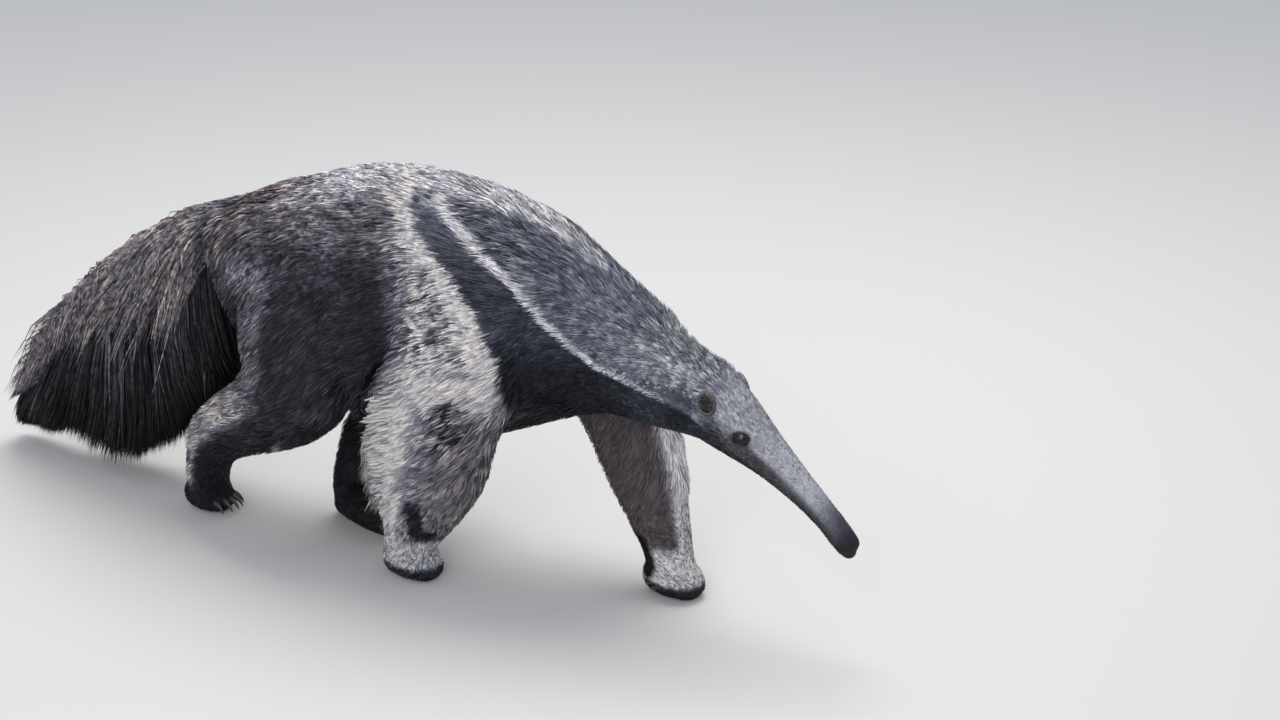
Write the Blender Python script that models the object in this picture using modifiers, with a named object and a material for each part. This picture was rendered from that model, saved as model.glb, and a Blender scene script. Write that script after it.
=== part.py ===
"""Giant anteater at life size, walking with its head low, as a still museum model.

Metres, +Z up, +X towards the snout, +Y towards the animal's left. The middle of its footprint is
the origin, and its soles rest on Z = 0. The body is modelled whole and parted with thin cuts.
"""

import math
import random

import bmesh
import bpy
import numpy as np
from mathutils import Matrix, Vector
from mathutils.bvhtree import BVHTree

# Driving sizes of the animal
GAP = 0.0003  # left between nodes that touch
SKIN_VOXEL = 0.0075  # grain of the blended body before it is thinned out
BODY_TRIANGLES = 2800  # of the blended body, before it is parted
SNOUT_TIP = (0.885, 0.168)  # x, z
HEAD_JOINT = (0.652, 0.343)  # where head and neck part, just behind the ears
HEAD_PITCH = math.radians(-32.0)
NECK_JOINT = (0.445, 0.400)
NECK_PITCH = math.radians(-14.0)
TAIL_JOINT = (-0.205, 0.430)
TAIL_PITCH = math.radians(16.0)
EYE_RADIUS = 0.0075
LOCK_GAP = 0.0004  # kept from a neighbour by a lock that would cross it
LONG_LOCK = 0.13  # a lock this long has one more ring
LOCK_FLOOR = 0.010  # lowest that a lock's tip hangs
SOLE = 0.0

# Colours from the photo, as linear base colours with roughness
GREY_COAT = ((0.115, 0.115, 0.125), 0.85)
BLACK_COAT = ((0.020, 0.020, 0.024), 0.85)
WHITE_COAT = ((0.420, 0.405, 0.370), 0.85)
TAIL_COAT = ((0.060, 0.054, 0.052), 0.90)
SNOUT_SKIN = ((0.150, 0.140, 0.150), 0.70)
HORN = ((0.045, 0.038, 0.033), 0.45)
EYE = ((0.010, 0.007, 0.006), 0.10)


def clear_scene():
    for obj in list(bpy.data.objects):
        bpy.data.objects.remove(obj, do_unlink=True)


def collection(name, hidden=False):
    made = bpy.data.collections.new(name)
    bpy.context.scene.collection.children.link(made)
    made.hide_render = hidden
    return made


def finish(name, look):
    """A material with one of the finishes above."""
    (red, green, blue), roughness = look
    material = bpy.data.materials.new(name)
    material.use_nodes = True
    shader = material.node_tree.nodes["Principled BSDF"]
    shader.inputs["Base Color"].default_value = (red, green, blue, 1.0)
    shader.inputs["Roughness"].default_value = roughness
    return material


def smooth_rows(rows, count):
    """Rows read at even steps off the Catmull-Rom curve through the given rows."""
    rows = np.array(rows, float)
    padded = np.vstack([2 * rows[0] - rows[1], rows, 2 * rows[-1] - rows[-2]])
    found = []
    for place in np.linspace(0, len(rows) - 1, count):
        i = min(int(place), len(rows) - 2)
        t = place - i
        a, b, c, d = padded[i : i + 4]
        found.append(
            0.5 * (2 * b + (c - a) * t + (2 * a - 5 * b + 4 * c - d) * t**2
                   + (3 * b - a - 3 * c + d) * t**3)
        )
    return np.array(found)


def new_object(name, mesh, where):
    obj = bpy.data.objects.new(name, mesh)
    where.objects.link(obj)
    return obj


def mesh_object(name, shape, where):
    """An object from a bmesh, with its faces turned outwards."""
    bmesh.ops.recalc_face_normals(shape, faces=shape.faces)
    mesh = bpy.data.meshes.new(name)
    shape.to_mesh(mesh)
    shape.free()
    return new_object(name, mesh, where)


def loft(name, rows, rings, sides, where, side=(0, 1, 0), squareness=2.0, ends=(0.6, 0.6),
         upright=False):
    """A closed tube through rows of (x, y, z, half height, half width).

    Its rings stand square to the path, or upright, with their width along side. Each end is
    domed by that share of the end ring's half height."""
    across = Vector(side)
    path = smooth_rows(rows, rings)
    shape = bmesh.new()
    loops = []
    for i in range(rings):
        before, after = path[max(i - 1, 0)], path[min(i + 1, rings - 1)]
        along = Vector(after[:3] - before[:3])
        along.z = 0.0 if upright else along.z
        along.normalize()
        width_way = (across - along * across.dot(along)).normalized()
        height_way = along.cross(width_way).normalized() * -1.0
        centre, tall, wide = Vector(path[i][:3]), path[i][3], path[i][4]
        domes = []
        if i == 0 and ends[0] > 0:
            domes = [(-ends[0] * tall * 0.90, 0.45), (-ends[0] * tall * 0.55, 0.83)]
        if i == rings - 1 and ends[1] > 0:
            domes = [(ends[1] * tall * 0.55, 0.83), (ends[1] * tall * 0.90, 0.45)]
        sections = [(0.0, 1.0)]
        sections = domes + sections if i == 0 else sections + domes
        for shift, share in sections:
            loop = []
            for k in range(sides):
                angle = 2 * math.pi * k / sides
                c, s = math.cos(angle), math.sin(angle)
                u = math.copysign(abs(c) ** (2 / squareness), c)
                v = math.copysign(abs(s) ** (2 / squareness), s)
                loop.append(shape.verts.new(
                    centre + along * shift + height_way * (u * tall * share)
                    + width_way * (v * wide * share)))
            loops.append(loop)
    for low, high in zip(loops, loops[1:]):
        for k in range(sides):
            j = (k + 1) % sides
            shape.faces.new((low[k], low[j], high[j], high[k]))
    shape.faces.new(loops[0])
    shape.faces.new(loops[-1])
    bmesh.ops.triangulate(shape, faces=[f for f in shape.faces if len(f.verts) > 4])
    return mesh_object(name, shape, where)


def evaluated_mesh(obj):
    graph = bpy.context.evaluated_depsgraph_get()
    return bpy.data.meshes.new_from_object(obj.evaluated_get(graph))


def apply_modifiers(obj):
    mesh = evaluated_mesh(obj)
    obj.modifiers.clear()
    obj.data = mesh
    return obj


def blend_together(name, pieces, where):
    """One smooth closed skin over overlapping closed pieces, thinned to BODY_TRIANGLES."""
    shape = bmesh.new()
    for piece in pieces:
        shape.from_mesh(piece.data)
        bpy.data.objects.remove(piece, do_unlink=True)
    mesh = bpy.data.meshes.new(name)
    shape.to_mesh(mesh)
    shape.free()
    obj = new_object(name, mesh, where)
    remesh = obj.modifiers.new("Grain", "REMESH")
    remesh.mode = "VOXEL"
    remesh.voxel_size = SKIN_VOXEL
    soften = obj.modifiers.new("Soften", "SMOOTH")
    soften.factor = 0.5
    soften.iterations = 8
    apply_modifiers(obj)
    thin = obj.modifiers.new("Thin", "DECIMATE")
    thin.ratio = BODY_TRIANGLES / (2 * len(obj.data.polygons))
    return apply_modifiers(obj)


def largest_body(shape):
    """Removes all but the largest closed surface of a bmesh."""
    seen, groups = set(), []
    for start in shape.faces:
        if start in seen:
            continue
        group, queue = [], [start]
        seen.add(start)
        while queue:
            face = queue.pop()
            group.append(face)
            for edge in face.edges:
                for other in edge.link_faces:
                    if other not in seen:
                        seen.add(other)
                        queue.append(other)
        groups.append(group)
    groups.sort(key=lambda g: sum(f.calc_area() for f in g))
    spare = [face for group in groups[:-1] for face in group]
    bmesh.ops.delete(shape, geom=spare, context="FACES")
    loose = [v for v in shape.verts if not v.link_faces]
    bmesh.ops.delete(shape, geom=loose, context="VERTS")


def keep_largest(obj):
    shape = bmesh.new()
    shape.from_mesh(obj.data)
    largest_body(shape)
    shape.to_mesh(obj.data)
    shape.free()
    return obj


def half(obj, point, normal, name, where):
    """A copy of the part of obj that lies past the plane, by half a gap, on its normal's side."""
    shape = bmesh.new()
    shape.from_mesh(obj.data)
    normal = Vector(normal).normalized()
    everything = list(shape.verts) + list(shape.edges) + list(shape.faces)
    cut = bmesh.ops.bisect_plane(
        shape, geom=everything, plane_co=Vector(point) + normal * (GAP / 2),
        plane_no=normal, clear_inner=True)
    edges = [e for e in cut["geom_cut"] if isinstance(e, bmesh.types.BMEdge)]
    filled = bmesh.ops.edgenet_fill(shape, edges=edges)
    bmesh.ops.triangulate(shape, faces=filled["faces"])
    largest_body(shape)
    return mesh_object(name, shape, where)


def parted(obj, point, normal, near, far, where):
    """Cuts obj in two at the plane: near lies behind its normal and far in front."""
    pieces = (
        half(obj, point, -Vector(normal), near, where),
        half(obj, point, normal, far, where),
    )
    bpy.data.objects.remove(obj, do_unlink=True)
    return pieces


def boolean(obj, operation, other, solver="MANIFOLD"):
    """Joins, cuts or crosses obj with one object, or with every object of a collection."""
    step = obj.modifiers.new(operation.title(), "BOOLEAN")
    step.operation = operation
    step.solver = solver
    if isinstance(other, bpy.types.Collection):
        step.operand_type = "COLLECTION"
        step.collection = other
    else:
        step.object = other
    return apply_modifiers(obj)


def copy_of(obj, name, where):
    return new_object(name, obj.data.copy(), where)


def grown(obj, by, name, where):
    """A copy of obj with its surface moved out along its normals."""
    made = copy_of(obj, name, where)
    swell = made.modifiers.new("Grow", "DISPLACE")
    swell.strength = by
    swell.mid_level = 0.0
    return apply_modifiers(made)


def remove(*objects):
    for obj in objects:
        bpy.data.objects.remove(obj, do_unlink=True)


def both(rows, sign):
    """Rows with y set on the animal's left (1) or right (-1)."""
    return [(x, sign * y, z, tall, wide) for x, y, z, tall, wide in rows]


# Trunk, neck and tail: (x, z, half height, half width) along the back
TRUNK = [
    (-0.205, 0.425, 0.060, 0.060),
    (-0.130, 0.412, 0.118, 0.108),
    (0.000, 0.398, 0.170, 0.136),
    (0.120, 0.400, 0.190, 0.142),
    (0.240, 0.404, 0.186, 0.138),
    (0.345, 0.408, 0.158, 0.122),
    (0.430, 0.400, 0.126, 0.098),
    (0.500, 0.385, 0.100, 0.078),
    (0.570, 0.361, 0.076, 0.059),
    (0.635, 0.345, 0.061, 0.050),
    (0.690, 0.317, 0.049, 0.042),
]
TAIL = [
    (-0.150, 0.430, 0.075, 0.062),
    (-0.240, 0.415, 0.058, 0.050),
    (-0.350, 0.365, 0.045, 0.040),
    (-0.460, 0.285, 0.036, 0.032),
    (-0.545, 0.205, 0.028, 0.026),
    (-0.600, 0.135, 0.020, 0.020),
]

# Legs: (x, distance from the middle plane, z, fore-and-aft radius, sideways radius)
RIGHT_FORELEG = [
    (0.312, 0.088, 0.450, 0.100, 0.046),
    (0.292, 0.104, 0.360, 0.104, 0.056),
    (0.266, 0.110, 0.275, 0.092, 0.058),
    (0.248, 0.106, 0.205, 0.086, 0.055),
    (0.222, 0.099, 0.135, 0.066, 0.048),
    (0.196, 0.092, 0.075, 0.044, 0.040),
    (0.180, 0.088, 0.042, 0.040, 0.036),
]
LEFT_FORELEG = [
    (0.350, 0.088, 0.450, 0.100, 0.046),
    (0.392, 0.102, 0.360, 0.088, 0.055),
    (0.440, 0.104, 0.275, 0.072, 0.055),
    (0.474, 0.100, 0.205, 0.062, 0.051),
    (0.504, 0.091, 0.135, 0.051, 0.045),
    (0.528, 0.081, 0.075, 0.041, 0.039),
    (0.540, 0.076, 0.042, 0.038, 0.035),
]
RIGHT_HINDLEG = [
    (0.005, 0.080, 0.440, 0.110, 0.046),
    (0.012, 0.106, 0.350, 0.108, 0.056),
    (0.004, 0.118, 0.276, 0.090, 0.058),
    (-0.048, 0.118, 0.222, 0.062, 0.051),
    (-0.120, 0.108, 0.182, 0.048, 0.043),
    (-0.182, 0.092, 0.136, 0.040, 0.037),
    (-0.218, 0.072, 0.082, 0.036, 0.034),
    (-0.232, 0.058, 0.038, 0.034, 0.034),
]
LEFT_HINDLEG = [
    (0.015, 0.080, 0.440, 0.110, 0.046),
    (0.045, 0.104, 0.350, 0.104, 0.056),
    (0.060, 0.104, 0.270, 0.082, 0.055),
    (0.038, 0.084, 0.195, 0.060, 0.048),
    (0.002, 0.064, 0.125, 0.045, 0.040),
    (-0.022, 0.052, 0.072, 0.038, 0.036),
    (-0.026, 0.048, 0.038, 0.036, 0.034),
]


def paw(name, heel, toe, height, width, where):
    """A rounded foot from heel to toe, over (x, y) points on the floor."""
    (x0, y0), (x1, y1) = heel, toe
    sections = ((0.0, 0.78, 0.74), (0.35, 1.0, 0.94), (0.72, 0.86, 1.0), (1.0, 0.58, 0.84))
    rows = []
    for share, tall, wide in sections:
        rows.append((x0 + (x1 - x0) * share, y0 + (y1 - y0) * share, height * tall * 0.80,
                     height * tall, width * wide))
    return loft(name, rows, 8, 14, where, squareness=2.4, ends=(0.7, 0.8))


# Feet on the floor: heel and toe (x, y), height and half width
FEET = {
    "fore_right": ((0.158, -0.084), (0.218, -0.086), 0.036, 0.036),
    "fore_left": ((0.518, 0.074), (0.580, 0.066), 0.036, 0.037),
    "hind_right": ((-0.258, -0.054), (-0.212, -0.050), 0.034, 0.034),
    "hind_left": ((-0.040, 0.050), (0.070, 0.020), 0.034, 0.036),
}

# How each leg is parted: its cell as rows of (z, x from, x to), then the planes through elbow or
# knee and through wrist or heel as (x, z) with the normal that points down the leg
LEG_INNER = 0.045  # distance of a cell's inner face from the middle plane, level with the belly
LEG_INNER_LOW = {1: -0.020, -1: 0.020}  # the same below the belly, for each side
BELLY = 0.205
CELL_LEAN = 0.33
LEGS = {
    "fore_right": (
        RIGHT_FORELEG, -1,
        ((0.210, 0.130, 0.350), (0.240, 0.142, 0.365), (0.300, 0.165, 0.385), (0.380, 0.185, 0.405),
         (0.450, 0.205, 0.405), (0.500, 0.235, 0.385), (0.530, 0.275, 0.345)),
        ((0.262, 0.262), (0.20, -0.98)), ((0.194, 0.070), (0.35, -0.94))),
    "fore_left": (
        LEFT_FORELEG, 1,
        ((0.210, 0.370, 0.600), (0.240, 0.350, 0.570), (0.300, 0.325, 0.530), (0.380, 0.285, 0.490),
         (0.450, 0.260, 0.455), (0.500, 0.280, 0.420), (0.530, 0.320, 0.380)),
        ((0.440, 0.268), (-0.40, -0.92)), ((0.530, 0.070), (-0.35, -0.94))),
    "hind_right": (
        RIGHT_HINDLEG, -1,
        ((0.210, -0.240, 0.095), (0.240, -0.160, 0.100), (0.300, -0.115, 0.125),
         (0.380, -0.110, 0.130), (0.450, -0.100, 0.120), (0.500, -0.070, 0.090),
         (0.535, -0.025, 0.040)),
        ((-0.030, 0.235), (-0.80, -0.60)), ((-0.200, 0.105), (-0.45, -0.89))),
    "hind_left": (
        LEFT_HINDLEG, 1,
        ((0.210, -0.090, 0.200), (0.240, -0.070, 0.190), (0.300, -0.060, 0.175),
         (0.380, -0.065, 0.160), (0.450, -0.075, 0.130), (0.500, -0.050, 0.095),
         (0.535, -0.010, 0.045)),
        ((0.050, 0.232), (-0.30, -0.95)), ((-0.018, 0.072), (0.0, -1.0))),
}
LOW_SPANS = {
    "fore_right": (0.090, 0.330),
    "fore_left": (0.250, 0.700),
    "hind_right": (-0.340, 0.088),
    "hind_left": (-0.160, 0.240),
}
LEG_NAMES = {
    "fore": ("upper_arm", "forearm", "forefoot"),
    "hind": ("thigh", "shank", "hindfoot"),
}


def whole_body(where):
    """Trunk, neck, tail core and legs as one blended skin with flat soles."""
    pieces = [
        loft("trunk", [(x, 0, z, t, w) for x, z, t, w in TRUNK], 30, 28, where, squareness=2.15),
        loft("tail_core", [(x, 0, z, t, w) for x, z, t, w in TAIL], 16, 16, where),
    ]
    for key, (rows, sign, _, _, _) in LEGS.items():
        pieces.append(loft(key, both(rows, sign), 18, 18, where, squareness=2.1))
        heel, toe, height, width = FEET[key]
        pieces.append(paw(key + "_paw", heel, toe, height, width, where))
    body = blend_together("whole", pieces, where)
    flat = half(body, (0, 0, SOLE - GAP / 2), (0, 0, 1), "flat_soled", where)
    remove(body)
    return flat


def leg_cell(name, key, clearance, where):
    """The space round one leg: a stack of boxes whose inner face leans out above the belly."""
    _, sign, rows, _, _ = LEGS[key]
    low, high = LOW_SPANS[key]
    inner_low = LEG_INNER_LOW[sign]
    levels = [(-0.10, low, high, inner_low), (BELLY - 0.012, low, high, inner_low)]
    for z, start, end in rows:
        levels.append((z, start, end, LEG_INNER + CELL_LEAN * (z - BELLY)))
    shape = bmesh.new()
    loops = []
    for z, start, end, inner in levels:
        near, far = sign * (inner - clearance), sign * 0.30
        corners = ((start - clearance, near), (end + clearance, near), (end + clearance, far),
                   (start - clearance, far))
        top = clearance if z == levels[-1][0] else 0.0
        loops.append([shape.verts.new((x, y, z + top)) for x, y in corners])
    for below, above in zip(loops, loops[1:]):
        for k in range(4):
            j = (k + 1) % 4
            shape.faces.new((below[k], below[j], above[j], above[k]))
    shape.faces.new(loops[0])
    shape.faces.new(loops[-1])
    bmesh.ops.triangulate(shape, faces=shape.faces)
    return mesh_object(name, shape, where)


def part_legs(body, where):
    """Takes the four legs off the body and parts each at its joints."""
    parts = {}
    for key, (_, _, _, upper_cut, lower_cut) in LEGS.items():
        region = leg_cell(key + "_cell", key, 0.0, where)
        hole = leg_cell(key + "_hole", key, GAP, where)
        leg = boolean(copy_of(body, key, where), "INTERSECT", region)
        body = boolean(body, "DIFFERENCE", hole)
        keep_largest(leg)
        keep_largest(body)
        remove(region, hole)
        pair, side = key.split("_")
        names = [f"{part}_{side}" for part in LEG_NAMES[pair]]
        (x, z), (nx, nz) = upper_cut
        top, rest = parted(leg, (x, 0, z), (nx, 0, nz), names[0], "rest", where)
        (x, z), (nx, nz) = lower_cut
        middle, foot = parted(rest, (x, 0, z), (nx, 0, nz), names[1], names[2], where)
        parts.update({names[0]: top, names[1]: middle, names[2]: foot})
    return body, parts


def pitched(angle):
    return Vector((math.cos(angle), 0, math.sin(angle)))


# Head: (x, z, half height, half width) from the neck joint to the end of the snout
HEAD = [
    (*HEAD_JOINT, 0.0560, 0.0460),
    (0.684, 0.325, 0.0490, 0.0415),
    (0.715, 0.305, 0.0405, 0.0340),
    (0.758, 0.276, 0.0308, 0.0250),
    (0.803, 0.243, 0.0232, 0.0192),
    (0.840, 0.212, 0.0188, 0.0165),
    (0.864, 0.188, 0.0174, 0.0160),
    (SNOUT_TIP[0] - 0.006, SNOUT_TIP[1] + 0.006, 0.0145, 0.0140),
]
EYE_PLACE = (0.7190, 0.0280, 0.3145)  # centre, for the left eye
NOSTRIL_PLACE = (0.887, 0.0068, 0.1715)
MOUTH_LENGTH = 0.030
MOUTH_GAPE = 0.0016


def ball(name, radius, place, stretch, where, segments=8):
    shape = bmesh.new()
    bmesh.ops.create_uvsphere(shape, u_segments=segments, v_segments=segments // 2 + 1, radius=radius)
    bmesh.ops.scale(shape, vec=stretch, verts=shape.verts)
    bmesh.ops.translate(shape, vec=place, verts=shape.verts)
    return mesh_object(name, shape, where)


def tube_ring(name, centre, normal, radius, thick, stretch, where):
    """A ring of skin, such as the lids round an eye, lying square to normal."""
    shape = bmesh.new()
    around, across = 12, 4
    facing = Vector(normal).normalized()
    turn = facing.to_track_quat("Z", "X").to_matrix()
    loops = []
    for i in range(around):
        angle = 2 * math.pi * i / around
        out = Vector((math.cos(angle), math.sin(angle), 0))
        loop = []
        for k in range(across):
            bend = 2 * math.pi * k / across
            local = out * (radius + thick * math.cos(bend)) + Vector((0, 0, thick * math.sin(bend)))
            local.x *= stretch
            loop.append(shape.verts.new(Vector(centre) + turn @ local))
        loops.append(loop)
    for i in range(around):
        a, b = loops[i], loops[(i + 1) % around]
        for k in range(across):
            j = (k + 1) % across
            shape.faces.new((a[k], a[j], b[j], b[k]))
    return mesh_object(name, shape, where)


def make_head(where, cutters):
    """The head with lids, eye sockets, nostrils and the slit of the small mouth."""
    rows = [(x, 0, z, t, w) for x, z, t, w in HEAD]
    head = loft("head", rows, 19, 16, where, squareness=2.15, ends=(0.5, 0.62))
    trimmed = half(head, (HEAD_JOINT[0], 0, HEAD_JOINT[1]), pitched(HEAD_PITCH), "head", where)
    remove(head)
    head = trimmed
    head.name = "head"
    lids = collection("lids", hidden=True)
    x, y, z = EYE_PLACE
    for sign in (-1, 1):
        facing = Vector((0.20, sign * 0.93, 0.30))
        centre = Vector((x, sign * y, z)) + facing.normalized() * (EYE_RADIUS * 0.52)
        tube_ring("lid", centre, facing, EYE_RADIUS * 0.98, 0.0021, 1.12, lids)
    boolean(head, "UNION", lids)
    for obj in list(lids.objects):
        remove(obj)
    bpy.data.collections.remove(lids)
    for sign in (-1, 1):
        socket = ball("socket", EYE_RADIUS + GAP, (x, sign * y, z), (1, 1, 1), cutters, 10)
        boolean(head, "DIFFERENCE", socket)
        nx, ny, nz = NOSTRIL_PLACE
        nostril = ball("nostril", 0.0042, (nx, sign * ny, nz), (1.5, 0.62, 1.0), cutters)
        boolean(head, "DIFFERENCE", nostril)
        remove(socket, nostril)
    tilt = Matrix.Rotation(math.radians(8.0) - HEAD_PITCH, 3, "Y")
    start = Vector((SNOUT_TIP[0], 0, SNOUT_TIP[1])) + Vector((0.006, 0, -0.0125))
    mouth = bmesh.new()
    bmesh.ops.create_cube(mouth, size=1.0)
    bmesh.ops.scale(mouth, vec=(MOUTH_LENGTH * 2, 0.08, MOUTH_GAPE), verts=mouth.verts)
    bmesh.ops.rotate(mouth, cent=(0, 0, 0), matrix=tilt, verts=mouth.verts)
    bmesh.ops.translate(mouth, vec=start, verts=mouth.verts)
    slit = mesh_object("mouth_slit", mouth, cutters)
    boolean(head, "DIFFERENCE", slit)
    remove(slit)
    return keep_largest(head)


# Ear: a small upright oval cup on the side of the head
EAR_PLACE = (0.673, 0.041, 0.350)
EAR_HEIGHT = 0.038
EAR_WIDTH = 0.027
EAR_DEPTH = 0.012


def make_ear(side, sign, neighbours, where, cutters):
    """A cupped ear with its hollow facing out and forward, its root cut to the head."""
    facing = Vector((0.42, sign * 0.86, 0.28)).normalized()
    lean = Vector((-0.10, sign * 0.30, 1.0))
    up = (lean - facing * facing.dot(lean)).normalized()
    wide = up.cross(facing).normalized()
    around = 10
    centre = Vector((EAR_PLACE[0], sign * EAR_PLACE[1], EAR_PLACE[2])) + up * 0.012
    # (share of the rim's size, depth along facing) from the root, over the rim, into the cup
    profile = [
        (0.30, -0.016), (0.46, -0.006), (0.80, 0.001), (1.00, 0.010), (0.98, EAR_DEPTH),
        (0.86, 0.0095), (0.62, 0.0035), (0.30, 0.0000),
    ]
    shape = bmesh.new()
    loops = []
    for share, depth in profile:
        loop = []
        for k in range(around):
            angle = 2 * math.pi * k / around
            u, v = math.cos(angle), math.sin(angle)
            taper = 1.0 - 0.16 * v
            place = (centre + wide * (u * taper * share * EAR_WIDTH / 2)
                     + up * (v * share * EAR_HEIGHT / 2) + facing * depth)
            loop.append(shape.verts.new(place))
        loops.append(loop)
    for low, high in zip(loops, loops[1:]):
        for k in range(around):
            j = (k + 1) % around
            shape.faces.new((low[k], low[j], high[j], high[k]))
    for loop in (loops[0], loops[-1]):
        shape.faces.new(loop)
    bmesh.ops.triangulate(shape, faces=[f for f in shape.faces if len(f.verts) > 4])
    ear = mesh_object(f"ear_{side}", shape, where)
    for neighbour in neighbours:
        clear = grown(neighbour, GAP, "clear", cutters)
        boolean(ear, "DIFFERENCE", clear)
        remove(clear)
    return keep_largest(ear)


def make_eye(side, sign, where):
    x, y, z = EYE_PLACE
    return ball(f"eye_{side}", EYE_RADIUS, (x, sign * y, z), (1, 1, 1), where, 10)


def make_claw(name, root, way, bend, length, radius, where):
    """A tapered claw that leaves root along way and curls towards bend."""
    way, bend = Vector(way).normalized(), Vector(bend).normalized()
    rows = []
    for i in range(5):
        t = i / 4
        place = Vector(root) + way * (length * t * (1 - 0.35 * t)) + bend * (length * 0.45 * t * t)
        size = radius * (1.0 - t) ** 0.75 + 0.0006
        rows.append((*place, size, size * 0.72))
    side = way.cross(bend)
    return loft(name, rows, 5, 5, where, side=side, ends=(0.0, 0.0))


def make_claws(parts, where, cutters):
    """Three folded claws on each forefoot, and five short ones on each hindfoot."""
    claws = {}
    for key, (heel, toe, height, width) in FEET.items():
        pair, side = key.split("_")
        sign = 1 if side == "left" else -1
        foot = parts[f"{LEG_NAMES[pair][2]}_{side}"]
        clear = grown(foot, GAP, "foot_clear", cutters)
        made = []
        if pair == "fore":
            # The walker folds them in and back under the palm, on the inner side
            for number, (share, length, radius) in enumerate(
                    ((1.02, 0.040, 0.0070), (0.74, 0.062, 0.0095), (0.40, 0.046, 0.0075)), 1):
                x = heel[0] + (toe[0] - heel[0]) * share
                y = heel[1] + (toe[1] - heel[1]) * share - sign * width * 0.55
                root = (x, y, height * 0.80)
                made.append(make_claw(f"foreclaw_{side}_{number}", root, (-0.25, -sign * 1.0, -0.20),
                                      (-1.0, 0.0, -0.45), length, radius, where))
        else:
            ahead = Vector((toe[0] - heel[0], toe[1] - heel[1], 0)).normalized()
            across = Vector((-ahead.y, ahead.x, 0))
            for number in range(1, 6):
                spread = (number - 3) / 2
                reach = 0.012 - 0.010 * spread * spread
                root = (Vector((toe[0], toe[1], 0)) + ahead * reach
                        + across * (spread * width * 0.70) + Vector((0, 0, height * 0.62)))
                made.append(make_claw(f"hindclaw_{side}_{number}", root,
                                      ahead + across * (spread * 0.22) + Vector((0, 0, -0.12)),
                                      (0, 0, -1), 0.030, 0.0052, where))
        for claw in made:
            boolean(claw, "DIFFERENCE", clear)
            keep_largest(claw)
            claws[claw.name] = claw
        remove(clear)
    return claws


def tuft(name, root, normal, flow, length, width, thick, where, lift=0.25, droop=0.1, sway=0.0):
    """A flat, tapered, bent lock of hair whose root is sunk into the surface it grows from."""
    normal, flow = Vector(normal).normalized(), Vector(flow).normalized()
    across = flow.cross(normal).normalized()
    start = Vector(root) - normal * (0.6 * thick + 0.006) - flow * 0.004
    bend = Vector(root) + flow * (0.42 * length) + normal * (lift * length * 0.62)
    tip = (Vector(root) + flow * (length * 0.98) + normal * (lift * length * 0.35)
           + across * (sway * length) + Vector((0, 0, -droop * length)))
    tip.z = max(tip.z, LOCK_FLOOR + 0.002)
    bend.z = max(bend.z, LOCK_FLOOR + 0.5 * thick)
    shape = bmesh.new()
    loops = []
    rings = ((0.0, 0.62), (0.30, 1.0), (0.58, 0.86), (0.82, 0.50))
    if length < LONG_LOCK:
        rings = ((0.0, 0.70), (0.36, 1.0), (0.72, 0.68))
    for t, share in rings:
        place = start * (1 - t) ** 2 + bend * (2 * t * (1 - t)) + tip * t**2
        along = ((bend - start) * (1 - t) + (tip - bend) * t).normalized()
        wide = (across - along * across.dot(along)).normalized() * (width / 2 * share)
        tall = along.cross(wide).normalized() * (thick / 2 * share)
        loops.append([shape.verts.new(place + step) for step in (wide, tall, -wide, -tall)])
    point = shape.verts.new(tip)
    for low, high in zip(loops, loops[1:]):
        for k in range(4):
            j = (k + 1) % 4
            shape.faces.new((low[k], low[j], high[j], high[k]))
    for k in range(4):
        shape.faces.new((loops[-1][k], loops[-1][(k + 1) % 4], point))
    shape.faces.new(loops[0])
    bmesh.ops.triangulate(shape, faces=shape.faces)
    return mesh_object(name, shape, where)


def surface_point(tree, start, way):
    """Where a ray from inside a body leaves it, with the surface's outward normal."""
    place, normal, _, _ = tree.ray_cast(Vector(start), Vector(way).normalized())
    if place is None:
        return None
    if normal.dot(Vector(way)) < 0:
        normal = -normal
    return place, normal


def surface_tree(obj):
    shape = bmesh.new()
    shape.from_mesh(obj.data)
    tree = BVHTree.FromBMesh(shape)
    shape.free()
    return tree


def cut_lock(lock, clears):
    """Cuts a lock clear of its neighbours; false if that leaves nothing, or it still crosses one."""
    for clear, clear_tree, bare_tree in clears:
        if not len(lock.data.polygons):
            return False
        if surface_tree(lock).overlap(clear_tree):
            boolean(lock, "DIFFERENCE", clear)
            if not len(lock.data.polygons) or surface_tree(lock).overlap(bare_tree):
                return False
    return True


def grow_locks(obj, plan, neighbours, where):
    """Fuses one lock per row of the plan to obj: ray start, ray way, flow, then the lock's sizes."""
    locks = collection("locks", hidden=True)
    tree = surface_tree(obj)
    clears = []
    for neighbour in neighbours:
        clear = grown(neighbour, LOCK_GAP, "clear", where)
        clears.append((clear, surface_tree(clear), surface_tree(neighbour)))
    for start, way, flow, length, width, thick, lift, droop, sway in plan:
        found = surface_point(tree, start, way)
        if found is None:
            continue
        place, normal = found
        flow = Vector(flow).normalized()
        flow = (flow - normal * flow.dot(normal)).normalized()
        lock = tuft("lock", place, normal, flow, length, width, thick, locks, lift, droop, sway)
        if not cut_lock(lock, clears):
            remove(lock)
    boolean(obj, "UNION", locks)
    for lock in list(locks.objects):
        remove(lock)
    bpy.data.collections.remove(locks)
    remove(*[clear for clear, _, _ in clears])
    return keep_largest(obj)


def spread(low, high, count):
    return [low + (high - low) * (i + 0.5) / count for i in range(count)]


def around(x, z, angle):
    """A ray out of the body's axis at x, at an angle from straight up towards the left."""
    return (x, 0.0, z), (0.0, math.sin(angle), math.cos(angle))


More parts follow.
